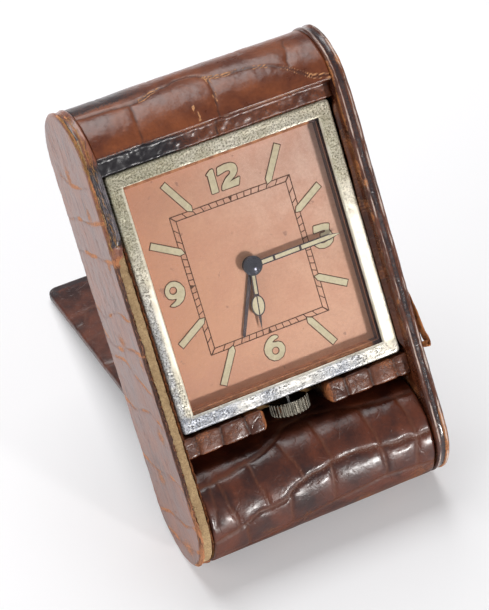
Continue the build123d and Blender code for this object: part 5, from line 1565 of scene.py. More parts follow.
        # The left rim's torn band takes the dark groove colour with orange bits: the raw edge of the torn
        # leather, and painted shade of the gap between it and the board.
        torn = on_rim * front * (1.0 - ramp(u, 12.0, 14.0)) * ramp(past, 0.9, 1.5)
        bits = 0.3 + 0.34 * rough_noise(loop, 1.1, 23, 2)
        lay_on(marks, "rub", torn * bits)
        lay_on(marks, "groove", 0.95 * torn)
        low_end = on_rim * front * (1.0 - ramp(u, -50.0, -40.0))
        lay_on(marks, "rub", low_end * (0.62 + 0.25 * rough_noise(loop, 2.0, 25, 2)))
        patches = ((33.0, -1.5, 5.0, 3.5), (24.0, 6.0, 4.0, 3.0), (12.0, 9.5, 3.0, 2.5),
                   (-8.0, 0.0, 3.0, 4.5), (-12.0, 11.0, 3.0, 2.5), (-31.0, 8.0, 4.0, 4.0),
                   (-44.0, -3.0, 3.0, 5.0), (-61.0, 2.0, 4.0, 6.0))
        for y, z, high, wide in patches:
            lay_on(marks, "rub", spot(u, v, (y, z), (high, wide), 0.6) * ~on_rim)
        return ridges - 0.4 * slit


@dataclass
class WornBoard:
    """Pressed board that shows where the left rim has lost its leather, with torn edges."""

    sizes: CaseSizes
    forge: Forge
    finishes: Finishes
    step: float = 0.5
    rough: float = 0.11
    lean: float = 0.2

    def board(self) -> bpy.types.Object:
        """Make the whole left board, rough along its rim.

        Returns:
            The object.
        """
        s = self.sizes
        centre, way, length = Stadium(s.flange_top, s.flange_bottom, s.board_radius, self.step).loop()
        inner, outer, big = s.board_inner_x, s.board_outer_x, s.board_radius
        rows = [(outer, 0.0), (outer, big * 0.5), (outer, big - 0.6)]
        rows += [tuple(p) for p in evened(np.array([(outer, big - 0.5), (outer, big), (inner, big),
                                                    (inner, big - 0.5)]), 0.23, 0.12)]
        rows += [(inner, big - 0.7), (inner, big * 0.5), (inner, 0.0)]
        table = np.array(rows)
        x = -np.tile(table[:, 0], (len(centre), 1))
        radius = np.tile(table[:, 1], (len(centre), 1))
        flat = np.stack([np.tile(length[:, None], (1, len(rows))), x], axis=-1)
        radius += np.where(radius > big - 0.4, self.rough * rough_noise(flat, 0.9, 61), 0.0)
        x += np.where((radius > big - 0.9), 0.06 * rough_noise(flat, 0.7, 63), 0.0)
        points = np.stack([x, centre[:, None] + radius * way[:, None, 0], radius * way[:, None, 1]], axis=-1)
        count, along = points.shape[:2]
        faces = grid_faces(count, along, True, False)
        item = self.forge.piece("left_flange_board", points.reshape(-1, 3), faces, self.finishes.board,
                                weld=True)
        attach(item, "case")
        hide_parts("flange_board_left")
        return item

    def lining(self) -> bpy.types.Object:
        """Make the ragged strip of leather that stands beside the board, next to the clock.

        Returns:
            The object.
        """
        s = self.sizes
        heights = np.arange(s.flange_bottom - 9.0, 16.0, 0.35)
        rise = s.flange_radius - 0.35 + 0.25 * rough_noise(np.stack([heights, heights], axis=-1), 1.3, 71)
        rise -= 0.35 * (1.0 - ramp(heights, -22.0, -14.0))
        reach = np.sqrt(np.maximum(rise ** 2 - np.minimum(heights - s.flange_bottom, 0.0) ** 2, 0.2))
        rows = np.linspace(0.0, 1.0, 13)
        low = 3.0
        z = low + (np.maximum(reach, low + 0.5)[:, None] - low) * rows[None, :]
        y = np.tile(heights[:, None], (1, len(rows)))
        flat = np.stack([y, z], axis=-1)
        x = -s.inner_x + 0.22 * np.minimum(rough_noise(flat, 1.0, 73), 0.2) * rows[None, :] ** 3
        x += self.lean * ramp(z, s.bezel_front + 0.4, s.flange_radius) * ramp(heights, s.flange_bottom - 4.0,
                                                                              s.flange_bottom + 4.0)[:, None]
        item = self.forge.shell("left_torn_lining", np.stack([x, y, z], axis=-1), 0.3, self.finishes.torn)
        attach(item, "case")
        return item


@dataclass
class Fray:
    """Loose fibres along torn leather."""

    forge: Forge
    material: bpy.types.Material
    thickness: float = 0.09
    seed: int = 5

    def build(self, name: str, roots: np.ndarray, ways: np.ndarray, lengths: np.ndarray) -> bpy.types.Object:
        """Make one object of many thin curved fibres.

        Args:
            name: Name of the piece.
            roots: Where the fibres start, in millimetres.
            ways: Their directions.
            lengths: Their lengths.

        Returns:
            The object.
        """
        pick = np.random.default_rng(self.seed)
        points, faces = [], []
        for root, way, length in zip(roots, ways, lengths):
            way = way / np.linalg.norm(way)
            bend = pick.normal(0.0, 0.6, 3)
            side = np.cross(way, pick.normal(0.0, 1.0, 3))
            side /= max(np.linalg.norm(side), 1e-6)
            other = np.cross(way, side)
            base = len(points)
            for step in range(5):
                share = step / 4
                middle = root + way * length * share + bend * length * 0.35 * share ** 2
                thick = self.thickness * (1.0 - 0.8 * share)
                for corner in range(3):
                    angle = 2.0 * math.pi * corner / 3
                    points.append(middle + thick * (math.cos(angle) * side + math.sin(angle) * other))
            for step in range(4):
                for corner in range(3):
                    a = base + step * 3 + corner
                    b = base + step * 3 + (corner + 1) % 3
                    faces.append([a, b, b + 3, a + 3])
            faces.append([base + 2, base + 1, base])
            faces.append([base + 12, base + 13, base + 14])
        item = self.forge.piece(name, np.array(points), faces, self.material)
        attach(item, "case")
        return item


@dataclass
class Cover:
    """Leather round the drum and over the cover that swings on it."""

    sizes: CaseSizes
    forge: Forge
    finishes: Finishes
    open_angle: float
    step: float = 0.46
    thickness: float = 2.3
    corner: float = 2.5
    edge: float = 0.5
    skin: float = 0.55
    lining: float = 0.3
    length: float = 88.6

    def edge_profile(self) -> np.ndarray:
        """How the leather turns over the cover's edge: inset and depth against length.

        Returns:
            Rows of inset and depth.
        """
        e, deep = self.edge, self.thickness
        line = [(4.0, 0.0), (e, 0.0)] + [(e - e * math.sin(a), e - e * math.cos(a))
                                         for a in np.linspace(0.1, math.pi / 2, 8)]
        line += [(0.0, deep - 0.3), (0.3, deep), (1.1, deep)]
        return np.array(line)

    def drum_arc(self) -> float:
        """Length of leather round the drum from the cover's outer face to its inner face.

        Returns:
            The length.
        """
        s = self.sizes
        inner = s.drum_radius - self.thickness
        return s.drum_radius * (2 * math.pi - math.acos(inner / s.drum_radius))

    def seams(self) -> list[Seam]:
        """Grooves of drum and cover, in x and in length past the drum.

        Returns:
            The seams.
        """
        def drum(line: Sequence[Point]) -> tuple[Point, ...]:
            """Turn angles seen on the open drum into lengths on the leather."""
            per_degree = self.sizes.drum_radius * math.pi / 180.0
            return tuple((x, (angle - self.open_angle) * per_degree) for x, angle in line)

        seen = [
            Seam(drum(((-30.5, 33.0), (-23.7, 37.4), (-20.4, 38.6), (-16.1, 43.1), (-11.4, 46.9),
                       (-6.7, 57.2), (-3.0, 71.1), (3.3, 74.5), (9.5, 66.4), (15.9, 55.6), (23.9, 49.9),
                       (30.5, 49.0))),
                 0.34, 0.5, 0.3),
            Seam(drum(((-30.5, -28.0), (-28.1, -26.6), (-23.2, -23.2), (-19.8, -17.0), (-16.8, -11.4),
                       (-13.5, -11.9), (-10.6, -9.8))), 0.4, 0.5, 0.35),
            Seam(drum(((-10.6, -9.8), (-6.2, 0.9), (-3.0, 4.3), (1.2, 6.2), (3.4, 9.3),
                       (7.8, 10.7), (12.3, 8.9), (16.1, 5.9), (18.7, 2.9), (24.3, 1.3), (30.5, -0.3))),
                 0.4, 0.5, 0.3, 0.62),
            Seam(drum(((-24.8, 38.0), (-24.5, 24.9), (-24.2, 4.8), (-23.4, -10.2), (-23.0, -22.0))),
                 0.4, 0.34),
            Seam(drum(((-16.2, 42.0), (-15.9, 23.7), (-15.4, 9.6), (-14.5, -7.5))), 0.4, 0.34),
            Seam(drum(((-6.8, 50.6), (-5.9, 29.3), (-4.8, 14.0), (-4.4, 3.0))), 0.34, 0.42),
            Seam(drum(((2.8, 60.0), (3.0, 46.3), (3.4, 28.3), (3.8, 10.8))), 0.34, 0.42),
            Seam(drum(((15.3, 56.0), (15.6, 46.9), (15.9, 26.4), (16.3, 4.5), (16.8, -21.4), (16.4, -30.0))),
                 0.36, 0.42),
            Seam(drum(((2.9, 9.0), (2.8, -10.2), (2.7, -37.1))), 0.3, 0.42),
            Seam(drum(((-30.5, -66.0), (-17.0, -58.8), (-10.0, -48.7), (-1.9, -43.1), (4.9, -37.9),
                       (15.9, -31.1), (20.0, -32.8), (30.5, -40.4))), 0.36, 0.5, 0.4),
            Seam(drum(((-21.2, -23.5), (-20.8, -42.0), (-20.2, -62.1))), 0.3, 0.42),
            Seam(drum(((-8.8, -9.0), (-9.4, -28.0), (-9.0, -48.0))), 0.3, 0.42),
            Seam(drum(((25.2, 49.0), (25.6, 19.3), (26.1, 1.6))), 0.34, 0.42),
            Seam(drum(((25.9, 1.0), (25.0, -20.0), (25.6, -38.0))), 0.3, 0.42),
            Seam(drum(((-26.7, 40.6), (-27.7, 13.8), (-28.3, -7.3))), 0.2, 0.4),
        ]
        low = float(-self.drum_arc())
        under = brick_seams((low + 1.0, low + 12.0, -41.5), -30.5, 30.5, 11.0, 31)
        panel = [
            Seam(((-30.5, 73.0), (-28.2, 73.2), (-22.5, 74.0), (-12.0, 74.5), (0.0, 73.6), (14.0, 74.8),
                  (30.5, 74.0)), 0.15, 0.4, 0.34),
            Seam(((-30.5, 60.8), (-28.7, 61.1), (-24.8, 62.1), (-10.0, 61.0), (4.0, 62.0), (18.0, 61.2),
                  (30.5, 62.0)), 0.15, 0.4, 0.34),
            Seam(((-30.5, 48.0), (-27.8, 48.2), (-14.0, 49.5), (0.0, 48.2), (15.0, 49.2), (30.5, 48.0)),
                 0.15, 0.4, 0.34),
            Seam(((-30.5, 67.0), (-27.0, 68.4), (-25.0, 73.6)), 0.16, 0.35, 0.2),
        ]
        rows = (4.0, 14.5, 25.5, 36.5, 48.4)
        return seen + under + panel + brick_seams(rows, -31.0, 31.0, 11.5, 37) + \
            brick_seams((74.2, 85.0, 92.0), -19.0, 31.0, 12.0, 38)

    def spine(self, b: np.ndarray) -> tuple[np.ndarray, np.ndarray]:
        """Points and outward normals of the closed cover's outside at lengths past the drum.

        Args:
            b: Lengths, below zero on the drum.

        Returns:
            The points and the normals, in y and z.
        """
        s = self.sizes
        angle = np.minimum(b, 0.0) / s.drum_radius
        normal = np.stack([np.sin(angle), np.cos(angle)], axis=-1)
        point = normal * s.drum_radius + np.stack([np.maximum(b, 0.0), np.zeros_like(b)], axis=-1)
        return point + np.array([s.drum_y, 0.0]), normal

    def opened(self, points: np.ndarray) -> np.ndarray:
        """Swing points of the closed cover to where it stands open.

        Args:
            points: Points of the closed cover.

        Returns:
            The points where they lie when it is open.
        """
        turn = math.radians(self.open_angle)
        y, z = points[..., 1] - self.sizes.drum_y, points[..., 2]
        return np.stack([points[..., 0], self.sizes.drum_y + y * math.cos(turn) + z * math.sin(turn),
                         -y * math.sin(turn) + z * math.cos(turn)], axis=-1)

    def build(self) -> bpy.types.Object:
        """Make the leather and let it stand for the CAD's.

        Returns:
            The object.
        """
        s = self.sizes
        profile = self.edge_profile()
        run = run_lengths(profile)
        spill = float(run[-1]) - 4.0
        half, length = s.cover_half, self.length
        a_line = np.linspace(-half - spill, half + spill, int(2 * (half + spill) / self.step))
        b_line = np.linspace(-self.drum_arc(), length + spill,
                             int((self.drum_arc() + length + spill) / self.step))
        a, b = np.meshgrid(a_line, b_line, indexing="ij")
        inner_a, inner_b = half - self.corner, length - self.corner
        beyond_a = np.maximum(np.abs(a) - inner_a, 0.0)
        beyond_b = np.maximum(b - inner_b, 0.0)
        corner = np.hypot(beyond_a, beyond_b)
        past = corner - self.corner
        way_a = np.where(corner > 1e-9, beyond_a / np.maximum(corner, 1e-9), 0.0) * np.sign(a)
        way_b = np.where(corner > 1e-9, beyond_b / np.maximum(corner, 1e-9), 0.0)
        edge_a = np.sign(a) * np.minimum(np.abs(a), inner_a) + way_a * self.corner
        edge_b = np.minimum(b, inner_b) + way_b * self.corner
        at = np.clip(past + 4.0, 0.0, run[-1])
        inset = np.interp(at, run, profile[:, 0])
        depth = np.interp(at, run, profile[:, 1])
        near = past > -4.0
        plan_a = np.where(near, edge_a - way_a * inset, a)
        plan_b = np.where(near, edge_b - way_b * inset, b)
        deep = np.where(near, depth, 0.0)
        point, normal = self.spine(plan_b)
        points = np.stack([plan_a, point[..., 0] - deep * normal[..., 0],
                           point[..., 1] - deep * normal[..., 1]], axis=-1)
        height, marks = ScalePattern(self.seams(), seed=41).measure(a, b)
        flat = np.stack([a, b], axis=-1)
        height += 0.12 * rough_noise(flat, 11.0, 47, 2)
        height *= 1.0 - ramp(past, -0.4, 0.6)
        height = np.minimum(height, 0.0) - 0.02
        lay_on(marks, "rub", 0.3 * np.exp(-((past + 0.2) / 0.4) ** 2))
        per_degree = s.drum_radius * math.pi / 180.0
        seen = b / per_degree + self.open_angle
        foot = (1.0 - ramp(seen, -44.0, -18.0)) * ramp(seen, -120.0, -90.0)
        lay_on(marks, "rub", foot * (0.41 + 0.17 * rough_noise(flat, 5.0, 61, 2)))
        lay_on(marks, "stain_and_shade", 0.2 + 0.16 * rough_noise(flat, 8.0, 63, 2) - 0.4 * foot)
        lay_on(marks, "stain_and_shade", 0.7 * ramp(past, -3.2, -2.0) * ramp(b, length - 8.0, length - 3.0))
        lay_on(marks, "scuff_and_glint", 0.7 * spot(np.abs(a), b, (half - 1.0, length - 1.5), (2.0, 2.5)))
        outward = face_normals(points, False)
        middle = outward[points.shape[0] // 2, -40, 2]
        sign = 1.0 if middle > 0 else -1.0
        points = self.opened(points + outward * sign * height[..., None])
        leather = self.forge.shell("cover_and_drum_leather", points, self.skin, self.finishes.drum, marks,
                                   flip=sign < 0, weld=True)
        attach(leather, "cover")
        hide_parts("cover_leather")
        return leather


@dataclass
class RailLips:
    """Two leather lips under the bezel, either side of the crown."""

    sizes: CaseSizes
    forge: Forge
    finishes: Finishes
    open_angle: float
    gap: float = 0.3
    step: float = 0.35
    taller: float = 1.2
    lower: float = 0.5
    proud: float = 0.5

    def slant(self, y: float, lift: float = 0.0) -> float:
        """Depth of the slanted underside at a height, raised by a lift.

        Args:
            y: Height.
            lift: How far the plane is raised.

        Returns:
            The depth.
        """
        s = self.sizes
        turn = math.radians(self.open_angle)
        return (s.drum_radius + self.gap + lift - (y - s.drum_y) * math.sin(turn)) / math.cos(turn)

    def lip(self, side: int) -> bpy.types.Object:
        """Make one lip.

        Args:
            side: 1 for the right lip and -1 for the left one.

        Returns:
            The object.
        """
        s = self.sizes
        top, bottom, front = s.rail_top + self.taller, s.rail_bottom - self.lower, s.rail_front + self.proud
        section = [(top, 1.0), (top, front), (bottom, front), (bottom, self.slant(bottom) + 0.05),
                   (top + 0.4, self.slant(top + 0.4) + 0.05), (top, 1.0)]
        ring = evened(np.array(section), self.step, 0.75)[:-1]
        middle = np.array([(top + bottom) / 2, front - 2.2])
        near, far = s.notch, s.inner_x - 0.03
        across = evened(np.array([[near, 0.0], [far, 0.0]]), self.step)[:, 0]
        caps = []
        for x in across:
            closeness = max(0.0, 1.0 - (x - near) / 1.5)
            shrink = 1.0 - 0.8 * (1.0 - math.sqrt(max(0.0, 1.0 - closeness ** 2)))
            caps.append(middle + (ring - middle) * np.array([shrink, 1.0 - (1.0 - shrink) * 0.8]))
        grid = np.array(caps)
        grid = np.concatenate([np.repeat(middle[None, None, :], len(ring), axis=1)
                               + (grid[:1] - middle) * 0.05,
                               middle + (grid[:1] - middle) * 0.6, grid], axis=0)
        x_all = np.concatenate([[near + 0.02, near], across])
        points = np.concatenate([side * x_all[:, None, None] * np.ones((1, len(ring), 1)), grid], axis=-1)
        lengths = run_lengths(ring)
        u, v = np.meshgrid(x_all, lengths, indexing="ij")
        seams = [Seam(((13.2, 4.0), (13.6, 9.0), (13.2, 14.0), (13.4, 20.0)), 0.3, 0.4, 0.4),
                 Seam(((20.5, 4.0), (20.0, 12.0), (20.6, 20.0)), 0.3, 0.4, 0.2),
                 Seam(((27.0, 4.0), (26.6, 12.0), (27.0, 20.0)), 0.25, 0.4, 0.1)]
        height, marks = ScalePattern(seams, crown=0.12, seed=53 + side).measure(u, v)
        end = np.exp(-((u - near) / 1.6) ** 2)
        lay_on(marks, "rub", 0.8 * end * ramp(grid[..., 1], front - 3.6, front - 1.6))
        lay_on(marks, "stain_and_shade", 0.9 * end * (1.0 - ramp(grid[..., 1], front - 5.0, front - 2.6)))
        arris = np.exp(-((grid[..., 0] - bottom) / 0.8) ** 2 - ((grid[..., 1] - front) / 0.9) ** 2)
        flat = np.stack([u, v], axis=-1)
        lay_on(marks, "rub", 0.45 * arris)
        lay_on(marks, "rub", 0.38 + 0.16 * rough_noise(flat, 4.0, 58))
        height += 0.12 * rough_noise(flat, 3.5, 57)
        count, along = points.shape[:2]
        closed = np.concatenate([points, points[:, :1]], axis=1)
        outward = face_normals(closed, False)[:, :-1]
        probe = outward[count // 2, np.argmax(ring[:, 1]), 2]
        sign = 1.0 if probe > 0 else -1.0
        points = points + outward * sign * np.minimum(height, 0.0)[..., None]
        faces = grid_faces(count, along, False, True)
        faces.append([j for j in range(along)])
        faces.append([(count - 1) * along + j for j in range(along)][::-1])
        name = "right_rail_lip" if side > 0 else "left_rail_lip"
        return self.forge.piece(name, points.reshape(-1, 3), faces, self.finishes.lip, flattened(marks),
                                weld=True)

    def build(self) -> bpy.types.Object:
        """Make both lips and the leather wall behind the crown.

        Returns:
            The object.
        """
        s = self.sizes
        low = s.back_low_y + LEATHER
        wall = np.array([(s.rail_top - 0.2, self.slant(s.rail_top - 0.2)), (low, self.slant(low))])
        line = evened(wall, 0.8)
        across = np.linspace(-s.inner_x + 0.03, s.inner_x - 0.03, 90)
        u, v = np.meshgrid(across, np.arange(len(line)) * 0.8, indexing="ij")
        points = np.stack([u, np.tile(line[:, 0], (90, 1)), np.tile(line[:, 1], (90, 1))], axis=-1)
        seams = brick_seams((0.0, 10.0, 20.0, 30.0), -30.0, 30.0, 11.0, 59)
        height, marks = ScalePattern(seams).measure(u, v)
        outward = face_normals(points, False)
        sign = 1.0 if outward[45, 5, 1] < 0 else -1.0
        points = points + outward * sign * np.minimum(height, 0.0)[..., None]
        back = self.forge.shell("rail_wall", points, 0.5, self.finishes.drum, marks, flip=sign < 0)
        item = self.forge.join("rail_leather_lips", [self.lip(1), self.lip(-1), back])
        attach(item, "case")
        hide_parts("rail_leather")
        return item


# The clock itself


@dataclass
class Bezel:
    """Worn nickel bezel with a chamfer round its window, with painted highlights on the chamfer."""

    sizes: CaseSizes
    forge: Forge
    finishes: Finishes
    chamfer: float = 0.34
    chamfer_drop: float = 0.2
    overhang: float = 0.4
    corner: float = 0.9
    round_edge: float = 0.4
    seat: float = 0.95
    step: float = 0.6

    def section(self) -> np.ndarray:
        """Section of the bar from the window outwards and back: share of the width, depth.

        Returns:
            The section's points.
        """
        s = self.sizes
        width = s.bezel_half[0] - s.window_half[0] + self.overhang
        front, back = s.bezel_front, s.bezel_back
        lip = s.glass_front
        line = [(self.seat, back), (self.seat, lip), (0.0, lip), (0.0, front - self.chamfer_drop),
                (self.chamfer, front), (width / 2, front - 0.03), (width - self.round_edge, front),
                (width - 0.12, front - 0.14), (width, front - self.round_edge), (width, back),
                (self.seat, back)]
        return np.array([(x / width, z) for x, z in line])

    def build(self) -> bpy.types.Object:
        """Make the bezel.

        Returns:
            The object.
        """
        s = self.sizes
        rows = []
        section = self.section()
        for (x0, z0), (x1, z1) in zip(section, section[1:]):
            count = 4 if abs(x1 - x0) > 0.15 else 2
            rows += [(x0 + (x1 - x0) * k / count, z0 + (z1 - z0) * k / count) for k in range(count)]
        table = np.array(rows)
        width = s.bezel_half[0] - s.window_half[0] + self.overhang
        loop = self.outline_shares()
        points = np.empty((len(loop), len(table), 3))
        for j, (share, z) in enumerate(table):
            half_x = s.bezel_half[0] - width * (1.0 - share)
            half_y = s.bezel_half[1] - width * (1.0 - share)
            radius = self.corner * share + 0.08
            for i, (side_x, side_y, angle, run) in enumerate(loop):
                centre = np.array([side_x * (half_x - radius), side_y * (half_y - radius)])
                start, end = run
                if angle is None:
                    a = np.array([start[0] * (half_x - radius), start[1] * (half_y - radius)])
                    b = np.array([end[0] * (half_x - radius), end[1] * (half_y - radius)])
                    way = np.array(end[2:]) * radius
                    points[i, j, :2] = a + (b - a) * start[2] + way
                else:
                    points[i, j, :2] = centre + radius * np.array([math.cos(angle), math.sin(angle)])
                points[i, j, 2] = z
        flat = points.copy()
        flat[..., 2] = 0.0
        wobble = 0.05 * rough_noise(flat[..., :2], 5.0, 83, 2)
        wobble += 0.035 * rough_noise(flat[..., :2], 0.9, 85, 3)
        on_face = (np.abs(points[..., 2] - s.bezel_front) < 0.1).astype(float)
        points[..., 2] += np.minimum(wobble, 0.02) * on_face
        x, y = flat[..., 0], flat[..., 1]
        share = table[None, :, 0] * np.ones_like(x)
        lifted = (y > s.window_half[1] - 0.9) * (share < 0.09) * (points[..., 2] > s.bezel_front - 0.4)
        points[..., 2] += 0.9 * lifted * (s.bezel_front - points[..., 2])
        left = ramp(-x, 21.5, 23.0) * ramp(-x / s.bezel_half[0] * s.bezel_half[1],
                                           np.abs(y) - 1.0, np.abs(y) + 1.0)
        top = ramp(y, s.window_half[1] - 0.5, s.window_half[1] + 0.5)
        low = ramp(-y, s.window_half[1] - 0.5, s.window_half[1] + 0.5)
        right = ramp(x, s.window_half[0] - 0.5, s.window_half[0] + 0.5) * (1.0 - top) * (1.0 - low)
        cloud = rough_noise(flat[..., :2], 6.0, 87, 2)
        dirty_left = np.maximum(ramp(share, 0.3, 0.6), ramp(y, 2.0, 12.0) + ramp(-y, 14.0, 22.0))
        olive_left = np.maximum(ramp(y, 0.0, 22.0), 0.5 * ramp(-y, 14.0, 24.0))
        # Painted pool of light on the inner half of the left arm, strongest near y = -8 mm.
        lit_left = (1.0 - ramp(share, 0.1, 0.55)) * 0.95 * np.exp(-((y + 8.0) / 9.0) ** 2)
        marks = {
            "flat": flat,
            "grime": top * 0.85 + left * (0.12 + 0.85 * dirty_left) + 0.5 * low
            + right * (0.12 + 0.6 * ramp(y, 0.0, 14.0) + 0.3 * ramp(share, 0.75, 1.0)) + 0.12 * cloud,
            "green": np.clip(top * (0.35 + 0.65 * ramp(-x, -4.0, 20.0)) + left * olive_left
                             + right * 0.8 * ramp(y, 2.0, 18.0), 0.0, 1.0),
            "blue": low * (1.0 - 0.7 * ramp(x, 12.0, 24.0)) * (0.9 + 0.3 * cloud)
            + left * (1.0 - ramp(y, -8.0, 12.0)) * ramp(share, 0.35, 0.6) * 0.8,
            # bright: painted highlights on the left arm's chamfer and inner half and on the bottom arm's
            # chamfer; on the right arm's lower part, clean metal with a painted highlight towards the window.
            "bright": left * np.maximum(lit_left, 0.8 * (share < 0.1)) + low * (share < 0.1) * 0.5
            + right * (1.0 - ramp(y + 2.0 * cloud, 2.0, 16.0)) * 0.85 * (1.0 - ramp(share, 0.6, 1.0)),
        }
        count, along = points.shape[:2]
        faces = grid_faces(count, along, True, True)
        item = self.forge.piece("nickel_bezel", points.reshape(-1, 3), faces, self.finishes.bezel,
                                flattened(marks), weld=True)
        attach(item, "case")
        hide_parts("bezel")
        return item

    def outline_shares(self) -> list[tuple]:
        """Stations round the bezel: sides as shares of their length, and corners as angles.

        Returns:
            The stations.
        """
        s = self.sizes
        stations: list[tuple] = []
        corners = [(1, -1), (1, 1), (-1, 1), (-1, -1)]
        for number, (cx, cy) in enumerate(corners):
            base = -90.0 + 90.0 * number
            for k in range(6):
                stations.append((cx, cy, math.radians(base + 18.0 * k), ((0, 0), (0, 0))))
            nx, ny = corners[(number + 1) % 4]
            normal = (math.cos(math.radians(base + 90.0)), math.sin(math.radians(base + 90.0)))
            length = 2 * (s.bezel_half[1] if cx == nx else s.bezel_half[0])
            count = int(length / self.step)
            for k in range(1, count):
                stations.append((cx, cy, None, ((cx, cy, k / count), (nx, ny, normal[0], normal[1]))))
        return stations


@dataclass
class DialPaint:
    """Painted numbers, marks and minute track of the dial."""

    sizes: CaseSizes
    forge: Forge
    finishes: Finishes
    outline: float = 0.24
    fill_height: float = 0.13
    line_height: float = 0.05
    line_width: float = 0.23
    track_half: Point = (15.7, 17.25)
    track_width: float = 1.3
    baton_width: float = 1.5

    def ribbon(self, line: Sequence[Point], width: float, low: float, high: float,
               material: bpy.types.Material, name: str, closed: bool = False) -> bpy.types.Object:
        """Make a flat painted stroke along a line.

        Args:
            line: Middle of the stroke.
            width: Width of the stroke.
            low: Depth of its underside.
            high: Depth of its face.
            material: Its paint.
            name: Name of the piece.
            closed: Whether the stroke joins up with itself.

        Returns:
            The object.
        """
        points = np.array(line, float)
        if closed:
            ahead = np.roll(points, -1, axis=0) - points
            behind = points - np.roll(points, 1, axis=0)
        else:
            ahead = np.concatenate([np.diff(points, axis=0), points[-1:] - points[-2:-1]])
            behind = np.concatenate([points[1:2] - points[:1], np.diff(points, axis=0)])
        ahead /= np.linalg.norm(ahead, axis=1, keepdims=True)
        behind /= np.linalg.norm(behind, axis=1, keepdims=True)
        bisect = ahead + behind
        bisect /= np.maximum(np.linalg.norm(bisect, axis=1, keepdims=True), 1e-6)
        normal = np.stack([-bisect[:, 1], bisect[:, 0]], axis=-1)
        stretch = 1.0 / np.maximum(np.abs(np.sum(bisect * ahead, axis=1)), 0.55)
        offset = normal * (width / 2 * stretch)[:, None]
        count = len(points)
        rows = [points - offset, points + offset]
        vertices = [(x, y, z) for z in (low, high) for row in rows for x, y in row]
        faces = []
        ring = count if closed else count - 1
        for i in range(ring):
            k = (i + 1) % count
            a, b, c, d = i, k, count + k, count + i
            top = [2 * count + a, 2 * count + b, 2 * count + c, 2 * count + d]
            faces += [[d, c, b, a], top, [a, b, 2 * count + b, 2 * count + a],
                      [c, d, 2 * count + d, 2 * count + c]]
        if not closed:
            for i, turn in ((0, False), (count - 1, True)):
                end = [i, 2 * count + i, 3 * count + i, count + i]
                faces.append(end[::-1] if turn else end)
        return self.forge.piece(name, np.array(vertices), faces, material, smooth=False)

    def numerals(self) -> list[tuple[list[Point], list[list[Point]]]]:
        """Outlines of 1, 2, 3, 6 and 9, each with its holes.

        Returns:
            Each outline with its holes.
        """
        one = [(-4.2, 23.8), (-2.9, 24.75), (-2.15, 24.75), (-2.25, 19.15), (-3.95, 19.15), (-3.75, 23.65)]
        two = [(-1.0, 24.65), (1.0, 24.95), (2.6, 24.75), (3.5, 24.1), (3.7, 23.2), (3.45, 22.3), (2.7, 21.5),
               (1.8, 20.95), (0.95, 20.5), (3.75, 20.95), (3.0, 19.15), (-1.35, 19.15), (-1.05, 20.2),
               (0.3, 21.6), (1.6, 22.3), (1.9, 22.8), (1.7, 23.2), (1.0, 23.35), (-1.5, 22.85)]
        three = [(17.85, 3.4), (20.5, 3.2), (21.9, 2.75), (21.35, 1.3), (21.8, 0.5), (22.0, -0.6),
                 (21.6, -1.6), (20.6, -2.3), (19.2, -2.5), (17.8, -2.1), (16.9, -1.15), (18.3, -1.1),
                 (19.3, -1.35),
                 (20.4, -1.15), (20.6, -0.5), (20.0, 0.15), (18.9, 0.4), (19.1, 1.2), (20.2, 1.1),
                 (20.5, 1.45), (20.2, 1.75), (17.45, 1.7)]
        six = [(1.5, -18.6), (0.9, -18.2), (0.0, -18.15), (-1.0, -18.55), (-2.0, -19.4), (-2.7, -20.6),
               (-2.75, -21.8), (-2.1, -23.2), (-1.1, -24.0), (0.1, -24.2), (1.3, -23.8), (2.2, -22.7),
               (2.4, -21.6), (2.0, -20.5), (1.2, -19.95), (0.2, -19.85), (-0.4, -19.6),
               (0.3, -19.2), (1.4, -18.95)]
        nine = [(-21.75, -2.6), (-20.8, -3.05), (-19.6, -3.0), (-18.3, -2.3), (-17.45, -1.0), (-17.25, 0.4),
                (-17.9, 1.8), (-18.9, 2.6), (-20.1, 2.85), (-21.3, 2.3), (-22.0, 1.2), (-22.05, 0.2),
                (-21.6, -0.8), (-20.8, -1.2), (-19.7, -1.35), (-19.9, -1.8), (-20.7, -2.2)]
        return [(one, []), (two, []), (three, []), (six, [arc((-0.05, -21.85), 1.0, 0.0, 345.0, 20)]),
                (nine, [arc((-20.0, 0.7), 1.0, 0.0, 345.0, 20)])]

    def softened(self, loop: Sequence[Point], soft: float = 0.28, step: float = 0.14) -> list[Point]:
        """A closed outline with its corners a little rounded, as brushed paint has them.

        Args:
            loop: Corners of the outline.
            soft: Length over which corners are rounded.
            step: Distance between the new points.

        Returns:
            The new outline.
        """
        points = np.array([*loop, loop[0]], float)
        lengths = run_lengths(points)
        count = int(lengths[-1] / step)
        at = np.linspace(0.0, lengths[-1], count, endpoint=False)
        even = np.column_stack([np.interp(at, lengths, points[:, axis]) for axis in (0, 1)])
        reach = max(1, int(round(soft / step)))
        window = np.hanning(2 * reach + 3)[1:-1]
        window /= window.sum()
        wrapped = np.concatenate([even[-reach:], even, even[:reach]])
        return [tuple(row) for row in np.column_stack([np.convolve(wrapped[:, axis], window, "valid")
                                                       for axis in (0, 1)])]

    def batons(self) -> list[list[Point]]:
        """Outlines of the eight long marks, pointed where they meet the track.

        Returns:
            The outlines.
        """
        lines = []
        for sx in (1, -1):
            for sy in (1, -1):
                lines.append(((10.0 * sx, 17.2 * sy), (14.9 * sx, 25.1 * sy)))
                lines.append(((14.9 * sx, 8.3 * sy), (22.1 * sx, 12.5 * sy)))
        shapes = []
        for inner, outer in lines:
            a, b = np.array(inner), np.array(outer)
            way = (b - a) / np.linalg.norm(b - a)
            side = np.array([-way[1], way[0]]) * self.baton_width / 2
            tip = a - way * 0.25
            shoulder = a + way * 0.75
            shapes.append([tuple(tip), tuple(shoulder + side), tuple(b + side), tuple(b - side),
                           tuple(shoulder - side)])
        return shapes

